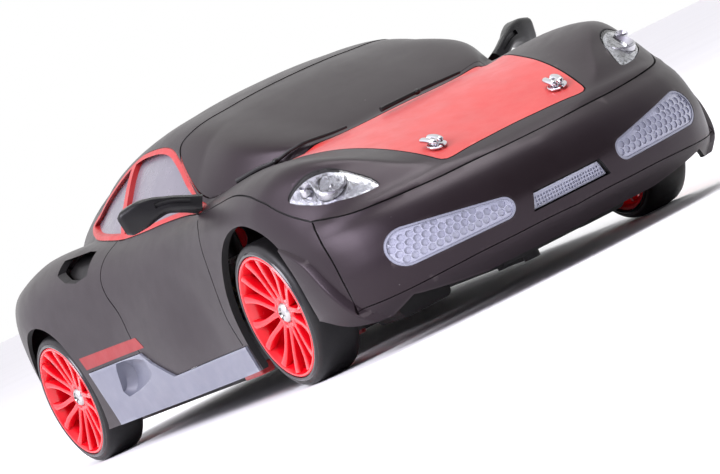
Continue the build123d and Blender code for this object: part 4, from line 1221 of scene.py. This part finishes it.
def make_exhaust():
    """Two plated tail pipes with a small lip."""
    r = EXHAUST_R
    outline = [(r, 0), (r + 0.12, 0.3), (r, 0.7), (r, 8.2), (r - 0.35, 8.2), (r - 0.35, 0.4), (r - 0.2, 0)]
    turned = moved(lathe(outline, 48), Matrix.Rotation(math.radians(-90), 4, "Z"))
    tips = [moved(turned, place(-92.6, side * EXHAUST_Y, EXHAUST_Z)) for side in (-1, 1)]
    piece("exhaust_tip_tubes", joined(*tips), "chrome", ["exhaust_tips"])


# ------------------------------------------------------------------ build
make_shell()
make_screens()
make_side_windows()
make_skirts()
make_sill_fitting()
make_stripes()
make_intakes()
make_fog_grilles()
make_grilles()
make_headlights()
make_tail_lamps()
make_wheels()
make_clips()
make_wipers()
make_mirrors()
make_exhaust()
dress_nodes()


# ------------------------------------------------------------------ floor, light and camera
def make_stage():
    mesh = bpy.data.meshes.new("floor")
    half = 6.0  # metres
    corners = [(-half, -half, 0), (half, -half, 0), (half, half, 0), (-half, half, 0)]
    mesh.from_pydata(corners, [], [(0, 1, 2, 3)])
    dress(mesh, "floor")
    floor = linked("floor", mesh)


def area_light(name, position, target, size, power, tint=(1, 1, 1)):
    data = bpy.data.lights.new(name, "AREA")
    data.shape, data.size, data.energy, data.color = "DISK", size, power, tint
    o = linked(name, data)
    o.location = Vector(position)
    o.rotation_euler = (Vector(target) - Vector(position)).to_track_quat("-Z", "Y").to_euler()


# The room's light by direction: white behind the car, dark in front of it, and extra light from the right.
ROOM_RAMP = [(0.0, (1, 1, 1)), (0.35, (0.52, 0.50, 0.58)), (0.7, (0.10, 0.085, 0.09)),
             (1.0, (0.05, 0.04, 0.04))]
FLANK_RAMP = [(0.0, (0, 0, 0)), (1.0, (0.84, 0.76, 1.0))]


def make_light():
    world = bpy.data.worlds.new("studio")
    bpy.context.scene.world = world
    world.use_nodes = True
    tree = world.node_tree
    link = tree.links.new
    split = node(tree, "SeparateXYZ")
    link(node(tree, "TexCoord").outputs["Generated"], split.inputs[0])
    room, flank = tree.nodes["Background"], node(tree, "Background", Strength=0.7)
    link(ramp(tree, split.outputs["X"], ROOM_RAMP), room.inputs["Color"])
    right = node(tree, "MapRange", From_Min=0.1, From_Max=-0.7, To_Min=0.0, To_Max=1.0)
    link(split.outputs["Y"], right.inputs["Value"])
    link(ramp(tree, right.outputs["Result"], FLANK_RAMP), flank.inputs["Color"])
    both_of = node(tree, "AddShader")
    link(room.outputs[0], both_of.inputs[0])
    link(flank.outputs[0], both_of.inputs[1])
    link(both_of.outputs[0], tree.nodes["World Output"].inputs["Surface"])
    bpy.context.scene.view_settings.view_transform = "Standard"
    target = (0, 0, 0.02)
    area_light("key", (0.10, 0.15, 0.80), target, 0.45, 3.4)
    area_light("side", (0.12, -0.65, 0.52), target, 0.5, 6.5, (0.92, 0.90, 1.0))
    area_light("front", (0.9, -0.25, 0.30), target, 0.5, 0.25)


def make_camera():
    azimuth, elevation, roll = (math.radians(v) for v in (-24.610, 0.611, -25.993))
    distance, focal_px, width_px, sensor = 762.64, 4105.5, 720, 36.0
    away = Vector((math.cos(elevation) * math.cos(azimuth), math.cos(elevation) * math.sin(azimuth),
                   math.sin(elevation)))
    right = (-away).cross(Vector((0, 0, 1))).normalized()
    up = right.cross(-away)
    x_axis = right * math.cos(roll) + up * math.sin(roll)
    y_axis = up * math.cos(roll) - right * math.sin(roll)
    data = bpy.data.cameras.new("camera")
    data.sensor_width, data.lens = sensor, focal_px / width_px * sensor
    data.clip_start, data.clip_end = 0.01, 50
    data.shift_x, data.shift_y = 37.1 / width_px, -23.7 / width_px
    camera = linked("camera", data)
    centre = (Vector((0, 0, 25)) + away * distance) * MM
    basis = Matrix((x_axis, y_axis, away)).transposed().to_4x4()
    camera.matrix_world = Matrix.Translation(centre) @ basis
    bpy.context.scene.camera = camera


make_stage()
make_light()
make_camera()
